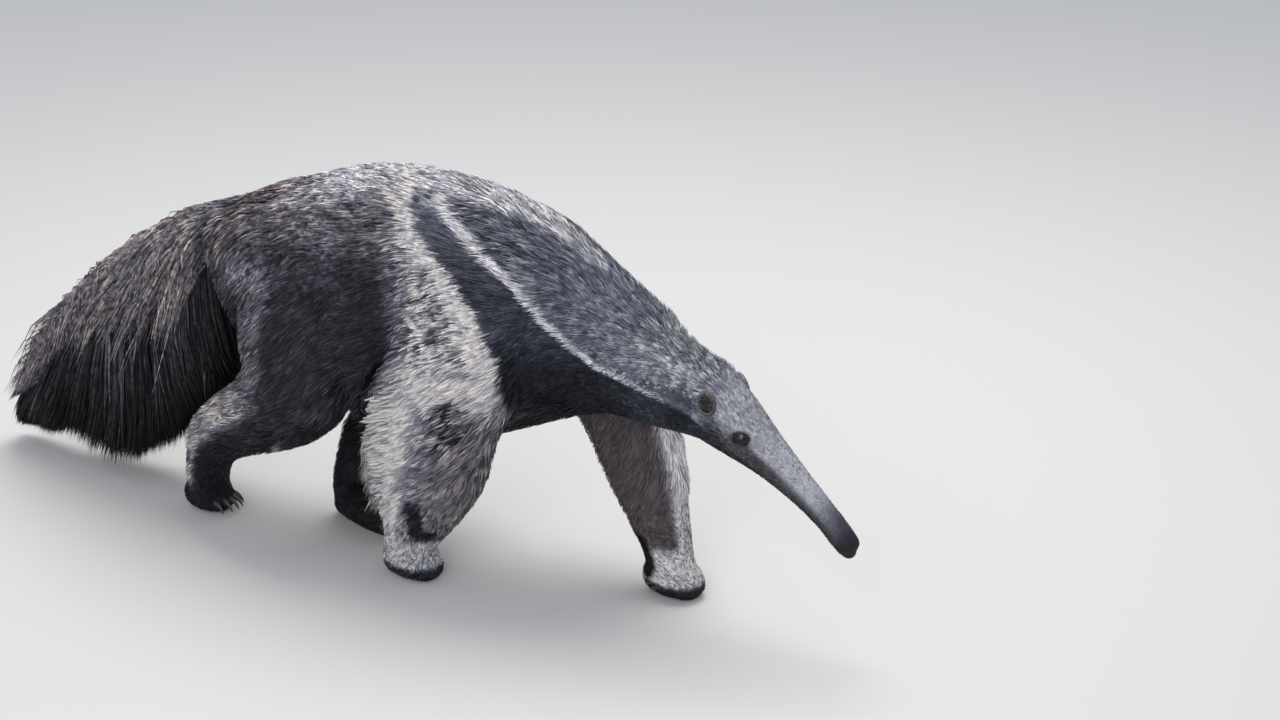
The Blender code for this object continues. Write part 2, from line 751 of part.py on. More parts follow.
def back_plan(chance):
    """Coarse hair along the back, swept backwards and, over the rump, down towards the tail."""
    plan = []
    for row, x in enumerate(spread(-0.185, 0.425, 11)):
        rear = min(max((0.10 - x) / 0.30, 0.0), 1.0)
        fore = min(max((x - 0.10) / 0.33, 0.0), 1.0)
        for degrees in (-58, 0, 58):
            angle = math.radians(degrees + 28 * (row % 2) - 14 + chance.uniform(-6, 6))
            start, way = around(x + chance.uniform(-0.008, 0.008), 0.42, angle)
            flow = (-1.0, 0.30 * way[1], -0.25 - 0.35 * rear)
            length = (0.092 + 0.050 * rear - 0.024 * fore) * chance.uniform(0.85, 1.15)
            plan.append((start, way, flow, length, 0.046 - 0.008 * fore, 0.012,
                         0.27, 0.02 + 0.10 * rear, chance.uniform(-0.12, 0.12)))
    return plan


def belly_plan(chance):
    """A fringe along the lower flanks and chest."""
    plan = []
    for sign in (-1, 1):
        for x in spread(-0.085, 0.130, 4):
            start, way = around(x, 0.36, sign * math.radians(128 + chance.uniform(-5, 5)))
            plan.append((start, way, (-0.85, 0.0, -0.5), 0.075 * chance.uniform(0.85, 1.15), 0.034,
                         0.011, 0.24, 0.20, chance.uniform(-0.1, 0.1)))
    return plan


def mane_plan(chance):
    """Short bristles down the top of the neck."""
    plan = []
    for row, x in enumerate(spread(0.470, 0.640, 5)):
        z = NECK_JOINT[1] + (HEAD_JOINT[1] - NECK_JOINT[1]) * (x - 0.445) / 0.207
        for degrees in (-24, 24):
            angle = math.radians(degrees + 14 * (row % 2) - 7 + chance.uniform(-4, 4))
            start, way = around(x + 0.02, z, angle)
            plan.append((start, way, (-1.0, 0.2 * way[1], 0.20), 0.042 * chance.uniform(0.9, 1.1),
                         0.024, 0.010, 0.34, 0.0, chance.uniform(-0.12, 0.12)))
    return plan


def leg_plan(chance, rows, sign, from_z, to_z, count, length, width):
    """A fringe down the rear edge of a leg, between two heights."""
    plan = []
    heights = [row[2] for row in rows]
    for z in spread(from_z, to_z, count):
        after = next((i for i, height in enumerate(heights) if height < z), len(rows) - 1)
        high, low = rows[after - 1], rows[after]
        share = (high[2] - z) / (high[2] - low[2])
        x = high[0] + (low[0] - high[0]) * share
        y = (high[1] + (low[1] - high[1]) * share) * sign
        way = (-0.85, sign * chance.uniform(0.15, 0.75), 0.0)
        plan.append(((x, y, z), way, (-0.35, 0.0, -0.94), length * chance.uniform(0.85, 1.15),
                     width, 0.011, 0.42, 0.0, chance.uniform(-0.12, 0.12)))
    return plan


# The tail's flesh with its innermost hair, half way out to the tips: (x, z, half height, half width)
TAIL_INNER = [
    (-0.215, 0.425, 0.052, 0.052),
    (-0.290, 0.356, 0.098, 0.054),
    (-0.370, 0.278, 0.128, 0.056),
    (-0.450, 0.220, 0.118, 0.052),
    (-0.530, 0.164, 0.090, 0.042),
    (-0.590, 0.116, 0.056, 0.030),
    (-0.616, 0.094, 0.032, 0.020),
]


def tail_middle(x):
    xs = [row[0] for row in TAIL_INNER]
    return float(np.interp(x, xs[::-1], [row[1] for row in TAIL_INNER][::-1]))


def tail_plan(chance):
    """Long hair in rows like shingles, which hangs down and back to just above the ground."""
    plan = []
    for lift_up, count, length, stand in ((0.86, 6, 0.220, 0.050), (0.42, 7, 0.300, 0.040),
                                          (-0.08, 7, 0.360, 0.028), (-0.62, 8, 0.360, 0.014)):
        for sign in (-1, 1):
            for place in spread(-0.236, -0.600, count):
                x = place + chance.uniform(-0.007, 0.007)
                share = (-0.236 - x) / 0.364
                half = float(np.interp(x, [r[0] for r in TAIL_INNER][::-1],
                                       [r[2] for r in TAIL_INNER][::-1]))
                z = tail_middle(x) + lift_up * half * 0.8
                way = (0.0, sign * (1.0 - 0.30 * abs(lift_up)), 1.1 * max(lift_up - 0.5, 0.0))
                flow = Vector((-0.16 - 0.64 * share, sign * 0.08, -1.0 + 0.42 * share)).normalized()
                reach = length * (1.0 - 0.58 * share) * chance.uniform(0.94, 1.06)
                lowest = 0.015 + 0.8 * max(x + flow.x * reach + 0.395, 0.0)
                reach = min(reach, (z - lowest) / -flow.z)
                plan.append(((x, 0.0, z), way, flow, reach, 0.355 / count - 0.008 * share, 0.013,
                             stand / reach, 0.0, chance.uniform(-0.05, 0.05)))
    for x, angle in ((-0.59, -0.3), (-0.60, 0.0), (-0.595, 0.35)):
        for sign in (-1, 1):
            z = tail_middle(x)
            plan.append(((x, 0.0, z), (-1.0, sign * 0.6, angle), (-0.8, sign * 0.1, -0.55 + angle),
                         0.062, 0.026, 0.011, 0.25, 0.0, 0.0))
    for x in spread(-0.300, -0.600, 4):
        for sign in (-1, 1):
            plan.append(((x, 0.0, tail_middle(x)), (0.0, sign * 0.35, 1.0), (-0.75, sign * 0.6, -0.5),
                         0.110, 0.044, 0.012, 0.32, 0.05, chance.uniform(-0.1, 0.1)))
    return plan


def fill_tail(core, torso, where):
    """Adds the innermost hair to the tail's flesh, clear of the trunk."""
    inner = loft("tail_inner", [(x, 0, z, t, w) for x, z, t, w in TAIL_INNER], 14, 16, where,
                 ends=(0.0, 0.5), upright=True)
    clear = grown(torso, LOCK_GAP, "clear", where)
    boolean(inner, "DIFFERENCE", clear)
    boolean(core, "UNION", inner)
    remove(inner, clear)
    return keep_largest(core)


def centre_over_footprint(objects):
    """Moves everything so that the middle of its footprint is the origin, and prints by how much."""
    points = np.array([v.co for obj in objects for v in obj.data.vertices])
    low, high = points.min(axis=0), points.max(axis=0)
    shift = Vector((-(low[0] + high[0]) / 2, -(low[1] + high[1]) / 2, -low[2]))
    for obj in objects:
        obj.data.transform(Matrix.Translation(shift))
    print("shift", tuple(shift))


# What the locks of each node could cross
NEAR = {
    "torso": ("neck", "tail", "upper_arm_right", "upper_arm_left", "thigh_right", "thigh_left",
              "shank_left", "shank_right", "forearm_right"),
    "neck": ("torso", "head", "upper_arm_left", "upper_arm_right"),
    "upper_arm_right": ("torso", "forearm_right", "thigh_right", "shank_left"),
    "upper_arm_left": ("torso", "forearm_left", "neck"),
    "forearm_right": ("torso", "upper_arm_right", "forefoot_right", "thigh_right", "shank_left",
                      "hindfoot_left"),
    "forearm_left": ("torso", "upper_arm_left", "forefoot_left"),
    "thigh_right": ("torso", "tail", "shank_right"),
    "thigh_left": ("torso", "tail", "shank_left"),
    "tail": ("torso", "thigh_right", "thigh_left", "shank_right", "hindfoot_right"),
}


def near(name, parts):
    return [parts[other] for other in NEAR[name] if other in parts]


def add_locks(parts, chance, where):
    """Grows the coarse hair of the trunk, neck, legs and tail."""
    grow_locks(parts["torso"], back_plan(chance) + belly_plan(chance), near("torso", parts), where)
    grow_locks(parts["neck"], mane_plan(chance), near("neck", parts), where)
    for side, sign, arm, thigh in (("right", -1, RIGHT_FORELEG, RIGHT_HINDLEG),
                                   ("left", 1, LEFT_FORELEG, LEFT_HINDLEG)):
        for name, rows, low, high, length, width in (
                (f"upper_arm_{side}", arm, 0.285, 0.380, 0.070, 0.034),
                (f"forearm_{side}", arm, 0.120, 0.235, 0.056, 0.030),
                (f"thigh_{side}", thigh, 0.275, 0.400, 0.066, 0.034)):
            plan = leg_plan(chance, rows, sign, low, high, 4, length, width)
            grow_locks(parts[name], plan, near(name, parts), where)
    grow_locks(parts["tail"], tail_plan(chance), near("tail", parts), where)


def look_of(name):
    if name.startswith(("foreclaw", "hindclaw")):
        return "claw_horn"
    if name.startswith("eye"):
        return "eye"
    if name.startswith(("head", "ear")):
        return "face"
    if name.startswith("tail"):
        return "tail_coat"
    if name.startswith(("upper_arm", "forearm", "forefoot")):
        return "pale_coat"
    if name.startswith(("thigh", "shank", "hindfoot")):
        return "dark_coat"
    return "grey_coat"


def main():
    clear_scene()
    animal = collection("giant_anteater")
    cutters = collection("cutters", hidden=True)
    body = whole_body(cutters)
    body, parts = part_legs(body, cutters)
    rear, tail = parted(body, (TAIL_JOINT[0], 0, TAIL_JOINT[1]), -pitched(TAIL_PITCH), "rear",
                        "tail", cutters)
    torso, front = parted(rear, (NECK_JOINT[0], 0, NECK_JOINT[1]), pitched(NECK_PITCH), "torso",
                          "front", cutters)
    neck = half(front, (HEAD_JOINT[0], 0, HEAD_JOINT[1]), -pitched(HEAD_PITCH), "neck", cutters)
    remove(front)
    head = make_head(cutters, cutters)
    parts.update({"torso": torso, "neck": neck, "head": head,
                  "tail": fill_tail(tail, torso, cutters)})
    add_locks(parts, random.Random(11), cutters)
    for side, sign in (("right", -1), ("left", 1)):
        parts[f"ear_{side}"] = make_ear(side, sign, (head, neck), cutters, cutters)
        parts[f"eye_{side}"] = make_eye(side, sign, cutters)
    parts.update(make_claws(parts, cutters, cutters))
    looks = {
        "grey_coat": finish("grey_coat", GREY_COAT),
        "dark_coat": finish("dark_coat", BLACK_COAT),
        "pale_coat": finish("pale_coat", WHITE_COAT),
        "tail_coat": finish("tail_coat", TAIL_COAT),
        "face": finish("face", SNOUT_SKIN),
        "claw_horn": finish("claw_horn", HORN),
        "eye": finish("eye", EYE),
    }
    for name, obj in parts.items():
        cutters.objects.unlink(obj)
        animal.objects.link(obj)
        obj.name = name
        obj.data.materials.clear()
        obj.data.materials.append(looks[look_of(name)])
        obj.data.shade_smooth()
    centre_over_footprint(list(parts.values()))


main()
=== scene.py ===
"""A giant anteater that walks with its head low: hide, face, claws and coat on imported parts."""

import math

import bpy
import numpy as np
from mathutils import Euler, Matrix, Vector
from mathutils.bvhtree import BVHTree
from mathutils.kdtree import KDTree


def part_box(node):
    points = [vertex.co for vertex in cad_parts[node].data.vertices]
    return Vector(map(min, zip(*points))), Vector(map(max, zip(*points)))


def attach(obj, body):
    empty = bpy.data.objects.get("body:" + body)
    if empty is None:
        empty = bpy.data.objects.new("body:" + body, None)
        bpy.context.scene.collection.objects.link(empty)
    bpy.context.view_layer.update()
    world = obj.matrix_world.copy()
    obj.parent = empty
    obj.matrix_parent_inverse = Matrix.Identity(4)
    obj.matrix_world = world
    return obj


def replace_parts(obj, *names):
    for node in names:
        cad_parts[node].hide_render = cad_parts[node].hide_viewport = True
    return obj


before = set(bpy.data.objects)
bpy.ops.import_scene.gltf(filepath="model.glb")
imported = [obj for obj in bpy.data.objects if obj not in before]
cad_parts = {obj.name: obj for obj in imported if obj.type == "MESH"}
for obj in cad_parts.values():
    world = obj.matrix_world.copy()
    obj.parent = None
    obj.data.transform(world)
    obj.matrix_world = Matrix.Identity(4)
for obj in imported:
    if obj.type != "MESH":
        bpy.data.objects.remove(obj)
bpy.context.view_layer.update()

# ---------------------------------------------------------------------------------------------
# The skin of the trunk, neck, tail and legs: a soft hide drawn tight over the body, here made tube
# by tube from rings, blended by a voxel remesh and smoothed. It lies under the flesh nodes by the
# depth of the underfur, and the coat grows from it.
eye_low, eye_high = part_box("eye_left")
DRAWN_EYE = Vector((0.7190, 0.0280, 0.3145))
SHIFT = (eye_low + eye_high) / 2 - DRAWN_EYE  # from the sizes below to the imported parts
UNDERFUR = 0.10  # of a ring's smaller radius
UNDERFUR_MOST = 0.008
INSET_REACH = 0.3  # share of a tube over which its inset changes
DOME = ((0.55, 0.83), (0.90, 0.45))  # depth and width of the steps of a rounded end
BODY_GRAIN = 0.0055

# x, z, half height, half width
TRUNK = [
    (-0.205, 0.425, 0.060, 0.060), (-0.130, 0.412, 0.118, 0.108), (0.000, 0.398, 0.170, 0.136),
    (0.120, 0.400, 0.190, 0.142), (0.240, 0.404, 0.186, 0.138), (0.345, 0.408, 0.158, 0.122),
    (0.430, 0.400, 0.126, 0.098), (0.500, 0.385, 0.100, 0.078), (0.570, 0.361, 0.076, 0.059),
    (0.635, 0.345, 0.061, 0.050), (0.664, 0.332, 0.052, 0.043),
]
TAIL = [
    (-0.150, 0.430, 0.075, 0.062), (-0.240, 0.415, 0.058, 0.050), (-0.350, 0.365, 0.045, 0.040),
    (-0.460, 0.285, 0.036, 0.032), (-0.545, 0.205, 0.028, 0.026), (-0.600, 0.135, 0.020, 0.020),
]
# x, distance from the middle plane, z, fore-and-aft radius, sideways radius
LEGS = {
    "fore_right": (-1, [
        (0.312, 0.088, 0.450, 0.100, 0.046), (0.292, 0.104, 0.360, 0.104, 0.056),
        (0.266, 0.110, 0.275, 0.092, 0.058), (0.248, 0.106, 0.205, 0.086, 0.055),
        (0.222, 0.099, 0.135, 0.066, 0.048), (0.196, 0.092, 0.075, 0.044, 0.040),
        (0.180, 0.088, 0.042, 0.040, 0.036),
    ]),
    "fore_left": (1, [
        (0.338, 0.076, 0.430, 0.084, 0.040), (0.388, 0.098, 0.352, 0.086, 0.054),
        (0.440, 0.104, 0.275, 0.072, 0.055), (0.474, 0.100, 0.205, 0.062, 0.051),
        (0.504, 0.091, 0.135, 0.051, 0.045), (0.528, 0.081, 0.075, 0.041, 0.039),
        (0.540, 0.076, 0.042, 0.038, 0.035),
    ]),
    "hind_right": (-1, [
        (0.005, 0.080, 0.440, 0.110, 0.046), (0.012, 0.106, 0.350, 0.108, 0.056),
        (0.004, 0.118, 0.276, 0.090, 0.058), (-0.048, 0.118, 0.222, 0.062, 0.051),
        (-0.120, 0.108, 0.182, 0.048, 0.043), (-0.182, 0.092, 0.136, 0.040, 0.037),
        (-0.218, 0.072, 0.082, 0.036, 0.034), (-0.232, 0.058, 0.038, 0.034, 0.034),
    ]),
    "hind_left": (1, [
        (0.015, 0.080, 0.440, 0.110, 0.046), (0.045, 0.104, 0.350, 0.104, 0.056),
        (0.060, 0.104, 0.270, 0.082, 0.055), (0.038, 0.084, 0.195, 0.060, 0.048),
        (0.002, 0.064, 0.125, 0.045, 0.040), (-0.022, 0.052, 0.072, 0.038, 0.036),
        (-0.026, 0.048, 0.038, 0.036, 0.034),
    ]),
}
# Heel and toe on the floor (x, y), height and half width
FEET = {
    "fore_right": ((0.158, -0.084), (0.218, -0.086), 0.036, 0.036),
    "fore_left": ((0.518, 0.074), (0.580, 0.066), 0.036, 0.037),
    "hind_right": ((-0.258, -0.054), (-0.212, -0.050), 0.034, 0.034),
    "hind_left": ((-0.040, 0.050), (0.070, 0.020), 0.034, 0.036),
}
# Place along the foot, half height and half width of a paw's rings, as shares of the foot's
PAW = ((0.0, 0.78, 0.74), (0.35, 1.0, 0.94), (0.72, 0.86, 1.0), (1.0, 0.58, 0.84))
PAW_MIDDLE = 0.80  # how high a ring's middle is, as a share of its half height
PAW_INSET = 0.0012


def only(obj):
    """Selects one object alone and makes it the active one."""
    bpy.ops.object.select_all(action="DESELECT")
    obj.select_set(True)
    bpy.context.view_layer.objects.active = obj


def apply(obj, kind, **settings):
    """Adds a modifier with its settings and applies it."""
    only(obj)
    step = obj.modifiers.new(kind.title(), kind)
    for key, value in settings.items():
        setattr(step, key, value)
    bpy.ops.object.modifier_apply(modifier=step.name)


def join(name, pieces):
    only(pieces[0])
    for piece in pieces:
        piece.select_set(True)
    bpy.ops.object.join()
    pieces[0].name = name
    return pieces[0]


def remove(obj):
    bpy.data.objects.remove(obj, do_unlink=True)


def flowing(rows, count):
    """Rows read at even steps off the smooth curve through the given rows."""
    rows = np.array(rows, float)
    padded = np.vstack([2 * rows[0] - rows[1], rows, 2 * rows[-1] - rows[-2]])
    found = []
    for place in np.linspace(0, len(rows) - 1, count):
        i = min(int(place), len(rows) - 2)
        t = place - i
        a, b, c, d = padded[i : i + 4]
        found.append(
            0.5 * (2 * b + (c - a) * t + (2 * a - 5 * b + 4 * c - d) * t**2
                   + (3 * b - a - 3 * c + d) * t**3))
    return np.array(found)


def hoop(place, turn, size, sides):
    """An oval ring of edges."""
    bpy.ops.mesh.primitive_circle_add(vertices=sides, radius=1.0, location=place, rotation=turn)
    made = bpy.context.active_object
    made.scale = (*size, 1.0)
    return made


def lofted(name, rings):
    """Bridges rings in a row into one form, and closes its ends."""
    obj = join(name, rings)
    bpy.ops.object.transform_apply(location=True, rotation=True, scale=True)
    bpy.ops.object.mode_set(mode="EDIT")
    bpy.ops.mesh.select_all(action="SELECT")
    bpy.ops.mesh.bridge_edge_loops()
    bpy.ops.mesh.select_all(action="DESELECT")
    bpy.ops.mesh.select_mode(type="EDGE")
    bpy.ops.mesh.select_non_manifold(extend=False)
    bpy.ops.mesh.fill_holes(sides=0)
    bpy.ops.mesh.select_all(action="SELECT")
    bpy.ops.mesh.normals_make_consistent(inside=False)
    bpy.ops.mesh.select_mode(type="VERT")
    bpy.ops.object.mode_set(mode="OBJECT")
    return obj


def tube(name, rows, count, inset=None, sides=28, ends=(0.6, 0.6)):
    """A closed tube through rows of (x, y, z, half height, half width), domed at both ends."""
    bpy.ops.object.select_all(action="DESELECT")
    path = flowing(rows, count)
    rings = []
    for i in range(count):
        along = Vector(path[min(i + 1, count - 1)][:3] - path[max(i - 1, 0)][:3]).normalized()
        wide_way = (Vector((0, 1, 0)) - along * along.y).normalized()
        turn = Matrix((wide_way.cross(along), wide_way, along)).transposed().to_euler()
        tall, wide = path[i][3], path[i][4]
        less = min(UNDERFUR_MOST, UNDERFUR * min(tall, wide))
        if inset:
            less = inset[0] + (inset[1] - inset[0]) * min(i / (count * INSET_REACH), 1.0)
        steps = [(0.0, 1.0)]
        if i == 0:
            steps = [(-ends[0] * tall * depth, share) for depth, share in reversed(DOME)] + steps
        if i == count - 1:
            steps = steps + [(ends[1] * tall * depth, share) for depth, share in DOME]
        for shift, share in steps:
            rings.append(hoop(Vector(path[i][:3]) + SHIFT + along * shift, turn,
                              ((tall - less) * share, (wide - less) * share), sides))
    return lofted(name, rings)


def across_middle(rows, sign=0):
    """Rows of (x, z, ...) put on the middle plane, or leg rows put on one side."""
    if sign:
        return [(x, sign * y, z, tall, wide) for x, y, z, tall, wide in rows]
    return [(x, 0.0, z, tall, wide) for x, z, tall, wide in rows]


body_pieces = [
    tube("trunk", across_middle(TRUNK), 30),
    tube("tail_core", across_middle(TAIL), 18),
]
for key, (sign, rows) in LEGS.items():
    body_pieces.append(tube(key, across_middle(rows, sign), 18))
    (x0, y0), (x1, y1), height, width = FEET[key]
    paw = [
        (x0 + (x1 - x0) * share, y0 + (y1 - y0) * share, height * tall * PAW_MIDDLE,
         height * tall, width * wide)
        for share, tall, wide in PAW
    ]
    body_pieces.append(tube(key + "_paw", paw, 8, inset=(PAW_INSET, PAW_INSET), ends=(0.7, 0.8)))
body = join("skin_body", body_pieces)
apply(body, "REMESH", mode="VOXEL", voxel_size=BODY_GRAIN)
apply(body, "SMOOTH", factor=0.5, iterations=8)

# ---------------------------------------------------------------------------------------------
# The head's skin: thin and close on the skull, with lids round small eyes, a soft brow and cheek,
# comma-shaped nostrils and the short slit of the mouth. It is blended at a finer grain than the
# body, its openings are cut, and it is then made one with the rest of the skin.
HEAD = [
    (0.652, 0.343, 0.0560, 0.0460), (0.684, 0.325, 0.0490, 0.0415), (0.715, 0.305, 0.0405, 0.0340),
    (0.758, 0.276, 0.0308, 0.0250), (0.803, 0.243, 0.0234, 0.0194), (0.840, 0.213, 0.0198, 0.0172),
    (0.864, 0.190, 0.0196, 0.0174), (0.8765, 0.1775, 0.0184, 0.0164),
]
NECK_LAP = (0.628, 0.352, 0.0580, 0.0480)  # a first ring, inside the neck
HEAD_GRAIN = 0.0015
HEAD_PITCH = math.radians(-32.0)
HEAD_WAY = Vector((math.cos(HEAD_PITCH), 0, math.sin(HEAD_PITCH)))
EYE = Vector((0.7190, 0.0265, 0.3145))
EYE_RADIUS = 0.0074
EYE_PLAY = 0.0002  # between the ball and its socket
EYE_FACING = Vector((0.20, 0.93, 0.30)).normalized()
# Radius, thickness, set back and share of height of the rolls of each lid
LIDS = ((0.0074, 0.0021, 0.0, 0.80), (0.0098, 0.0018, 0.0016, 0.86))
LID_WIDTH = 1.14
LID_OUT = 0.0040
# Place and half size of the brow, cheek and nose of one side, and of the chin
LOBES = (((0.716, 0.0200, 0.3225), (0.019, 0.0095, 0.0070)),
         ((0.700, 0.0200, 0.2975), (0.030, 0.0160, 0.0160)),
         ((0.8770, 0.0050, 0.1755), (0.0098, 0.0088, 0.0105)))
CHIN = ((0.8760, 0, 0.1705), (0.0112, 0.0108, 0.0105))
NOSTRIL = Vector((0.8868, 0.0068, 0.1730))
NOSTRIL_SIZE = (0.0042, 0.0014, 0.0024)
NOSTRIL_DIP, NOSTRIL_SPREAD = 0.5, 0.55
MOUTH = Vector((0.8855, 0.0, 0.1622))
MOUTH_SIZE = (0.044, 0.060, 0.0009)
MOUTH_BACK, MOUTH_DIP = 0.016, 0.12
FLOOR_CUT = 0.0002


def mirrored(place, sign):
    return Vector((place[0], sign * place[1], place[2]))


def facing_turn(facing, up=Vector((0, 0, 1))):
    """Turns local Z to facing and local Y as near to up as that allows."""
    high = (up - facing * up.dot(facing)).normalized()
    return Matrix((high.cross(facing), high, facing)).transposed().to_euler()


def swelling(place, size, turn):
    """A soft lobe that the remesh blends into the head."""
    bpy.ops.object.select_all(action="DESELECT")
    bpy.ops.mesh.primitive_uv_sphere_add(
        segments=24, ring_count=14, radius=1.0, location=Vector(place) + SHIFT, rotation=turn)
    lobe = bpy.context.active_object
    lobe.scale = size
    bpy.ops.object.transform_apply(location=True, rotation=True, scale=True)
    return lobe


head_pieces = [tube("skin_head", across_middle([NECK_LAP] + HEAD), 26, inset=(0.0056, 0.0010),
                    sides=40, ends=(0.4, 0.62))]
head_turn = Euler((0, -HEAD_PITCH, 0))
for sign in (-1, 1):
    facing = mirrored(EYE_FACING, sign)
    lid_turn = facing_turn(facing, Vector((0.30, 0, 1)))
    centre = mirrored(EYE, sign) + facing * LID_OUT
    for radius, thick, back, flat in LIDS:
        bpy.ops.object.select_all(action="DESELECT")
        bpy.ops.mesh.primitive_torus_add(
            major_radius=radius, minor_radius=thick, major_segments=40, minor_segments=12,
            location=centre - facing * back + SHIFT, rotation=lid_turn)
        lid = bpy.context.active_object
        lid.scale = (LID_WIDTH, flat, 1.0)
        bpy.ops.object.transform_apply(location=True, rotation=True, scale=True)
        head_pieces.append(lid)
    for place, size in LOBES:
        head_pieces.append(swelling(mirrored(place, sign), size, head_turn))
head_pieces.append(swelling(*CHIN, head_turn))
head = join("skin_head", head_pieces)
apply(head, "REMESH", mode="VOXEL", voxel_size=HEAD_GRAIN)
apply(head, "SMOOTH", factor=0.5, iterations=6)

cutters = []
for sign in (-1, 1):
    bpy.ops.object.select_all(action="DESELECT")
    bpy.ops.mesh.primitive_uv_sphere_add(
        segments=32, ring_count=20, radius=EYE_RADIUS + EYE_PLAY,
        location=mirrored(EYE, sign) + SHIFT)
    bpy.ops.object.transform_apply(location=True)
    cutters.append(bpy.context.active_object)
    cutters.append(swelling(mirrored(NOSTRIL, sign), NOSTRIL_SIZE,
                            Euler((0, -HEAD_PITCH + NOSTRIL_DIP, -sign * NOSTRIL_SPREAD))))
bpy.ops.object.select_all(action="DESELECT")
bpy.ops.mesh.primitive_cube_add(size=1.0, location=MOUTH + SHIFT - HEAD_WAY * MOUTH_BACK,
                                rotation=(0, -HEAD_PITCH + MOUTH_DIP, 0))
slit = bpy.context.active_object
slit.scale = MOUTH_SIZE
bpy.ops.object.transform_apply(location=True, rotation=True, scale=True)
cutters.append(slit)
for cutter in cutters:
    apply(head, "BOOLEAN", operation="DIFFERENCE", solver="MANIFOLD", object=cutter)
    remove(cutter)
apply(body, "BOOLEAN", operation="UNION", solver="MANIFOLD", object=head)
remove(head)
skin = body
skin.name = "skin"
only(skin)
bpy.ops.object.mode_set(mode="EDIT")
bpy.ops.mesh.select_all(action="SELECT")
bpy.ops.mesh.bisect(plane_co=(0, 0, FLOOR_CUT), plane_no=(0, 0, -1), use_fill=True,
                    clear_outer=True)
bpy.ops.mesh.select_all(action="SELECT")
bpy.ops.mesh.normals_make_consistent(inside=False)
bpy.ops.object.mode_set(mode="OBJECT")
bpy.ops.object.shade_smooth()
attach(skin, "root")
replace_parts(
    skin, "torso", "neck", "head", "tail", "upper_arm_right", "upper_arm_left", "forearm_right",
    "forearm_left", "forefoot_right", "forefoot_left", "thigh_right", "thigh_left", "shank_right",
    "shank_left", "hindfoot_right", "hindfoot_left")

# ---------------------------------------------------------------------------------------------
# The markings, which skin and coat share: a silver crest over a grey back, black flanks and thighs,
# a black wedge from chest to shoulder under a white stripe, pale forelegs with a dark patch and a
# black wrist, a pale line down the back of each thigh, and a grey snout with a dark tip.
STRIPE = ((0.234, 0.567), (0.308, 0.528), (0.381, 0.487), (0.444, 0.433), (0.501, 0.389),
          (0.573, 0.361), (0.634, 0.344), (0.658, 0.331), (0.675, 0.318), (0.695, 0.303),
          (0.720, 0.280), (0.760, 0.240), (0.820, 0.190))
WEDGE_REAR = ((0.372, 0.250), (0.379, 0.331), (0.378, 0.384), (0.347, 0.451), (0.312, 0.480),
              (0.262, 0.510), (0.226, 0.534), (0.193, 0.561), (0.166, 0.590))
PALE_REAR = ((0.200, 0.300), (0.208, 0.338), (0.216, 0.380), (0.214, 0.430), (0.200, 0.480),
             (0.180, 0.520), (0.160, 0.560), (0.140, 0.590))
CREST = ((0.0, 0.12, 0.22, 0.32, 0.42, 0.50), (0.095, 0.080, 0.056, 0.038, 0.026, 0.014))
STRIPE_SLOPE = ((0.2, 0.30, 0.40, 0.46, 0.52, 0.60, 0.66, 0.70),
                (0.45, 0.6, 0.9, 0.8, 0.5, 0.30, 0.70, 0.90))
LEFT_AHEAD = ((0.110, 0.340), (0.100, 0.360), (0.040, 0.450), (0.0, 0.530))
# Lines of points with the radius of the mark round them: forelegs, then the face's left side
PATCHES = ((((0.316, -0.162, 0.296), (0.302, -0.165, 0.270)), 0.035),
           (((0.468, 0.155, 0.304), (0.462, 0.165, 0.270)), 0.032))
WRISTS = ((((0.238, -0.148, 0.136), (0.232, -0.138, 0.082)), 0.019),
          (((0.238, -0.14, 0.092), (0.252, -0.13, 0.082)), 0.022),
          (((0.500, 0.050, 0.070), (0.512, 0.045, 0.045)), 0.026),
          (((0.560, 0.120, 0.092), (0.575, 0.095, 0.086)), 0.016))
CHEEK = (((0.716, 0.031, 0.301), (0.735, 0.027, 0.281), (0.780, 0.021, 0.245),
          (0.830, 0.015, 0.205)), 0.016)
ROUND_EYE = (((0.7150, 0.033, 0.3135), (0.7240, 0.032, 0.3135)), 0.0125)
# A painted shadow below the ear, on the face's left side
PAINTED_SHADOW_BELOW_EAR = (((0.672, 0.042, 0.336), (0.681, 0.041, 0.319)), 0.012)


def ease(low, high, value):
    """Goes smoothly from 0 at low to 1 at high."""
    t = np.clip((value - low) / (high - low), 0.0, 1.0)
    return t * t * (3 - 2 * t)


def along_line(line, height):
    """The first value of each pair, read at a height, which is the second."""
    ordered = sorted(line, key=lambda pair: pair[1])
    return np.interp(height, [p[1] for p in ordered], [p[0] for p in ordered])


def height_on(rows, x, z):
    """How high a place lies on a row of rings: 0 in the middle, 1 on top and -1 below."""
    xs, middles, halves = np.array(sorted(rows))[:, :3].T
    return (z - np.interp(x, xs, middles)) / np.interp(x, xs, halves)


def along_head(x, z):
    """How far a place lies along the head, from its first ring."""
    return (x - HEAD[0][0]) * HEAD_WAY.x + (z - HEAD[0][1]) * HEAD_WAY.z


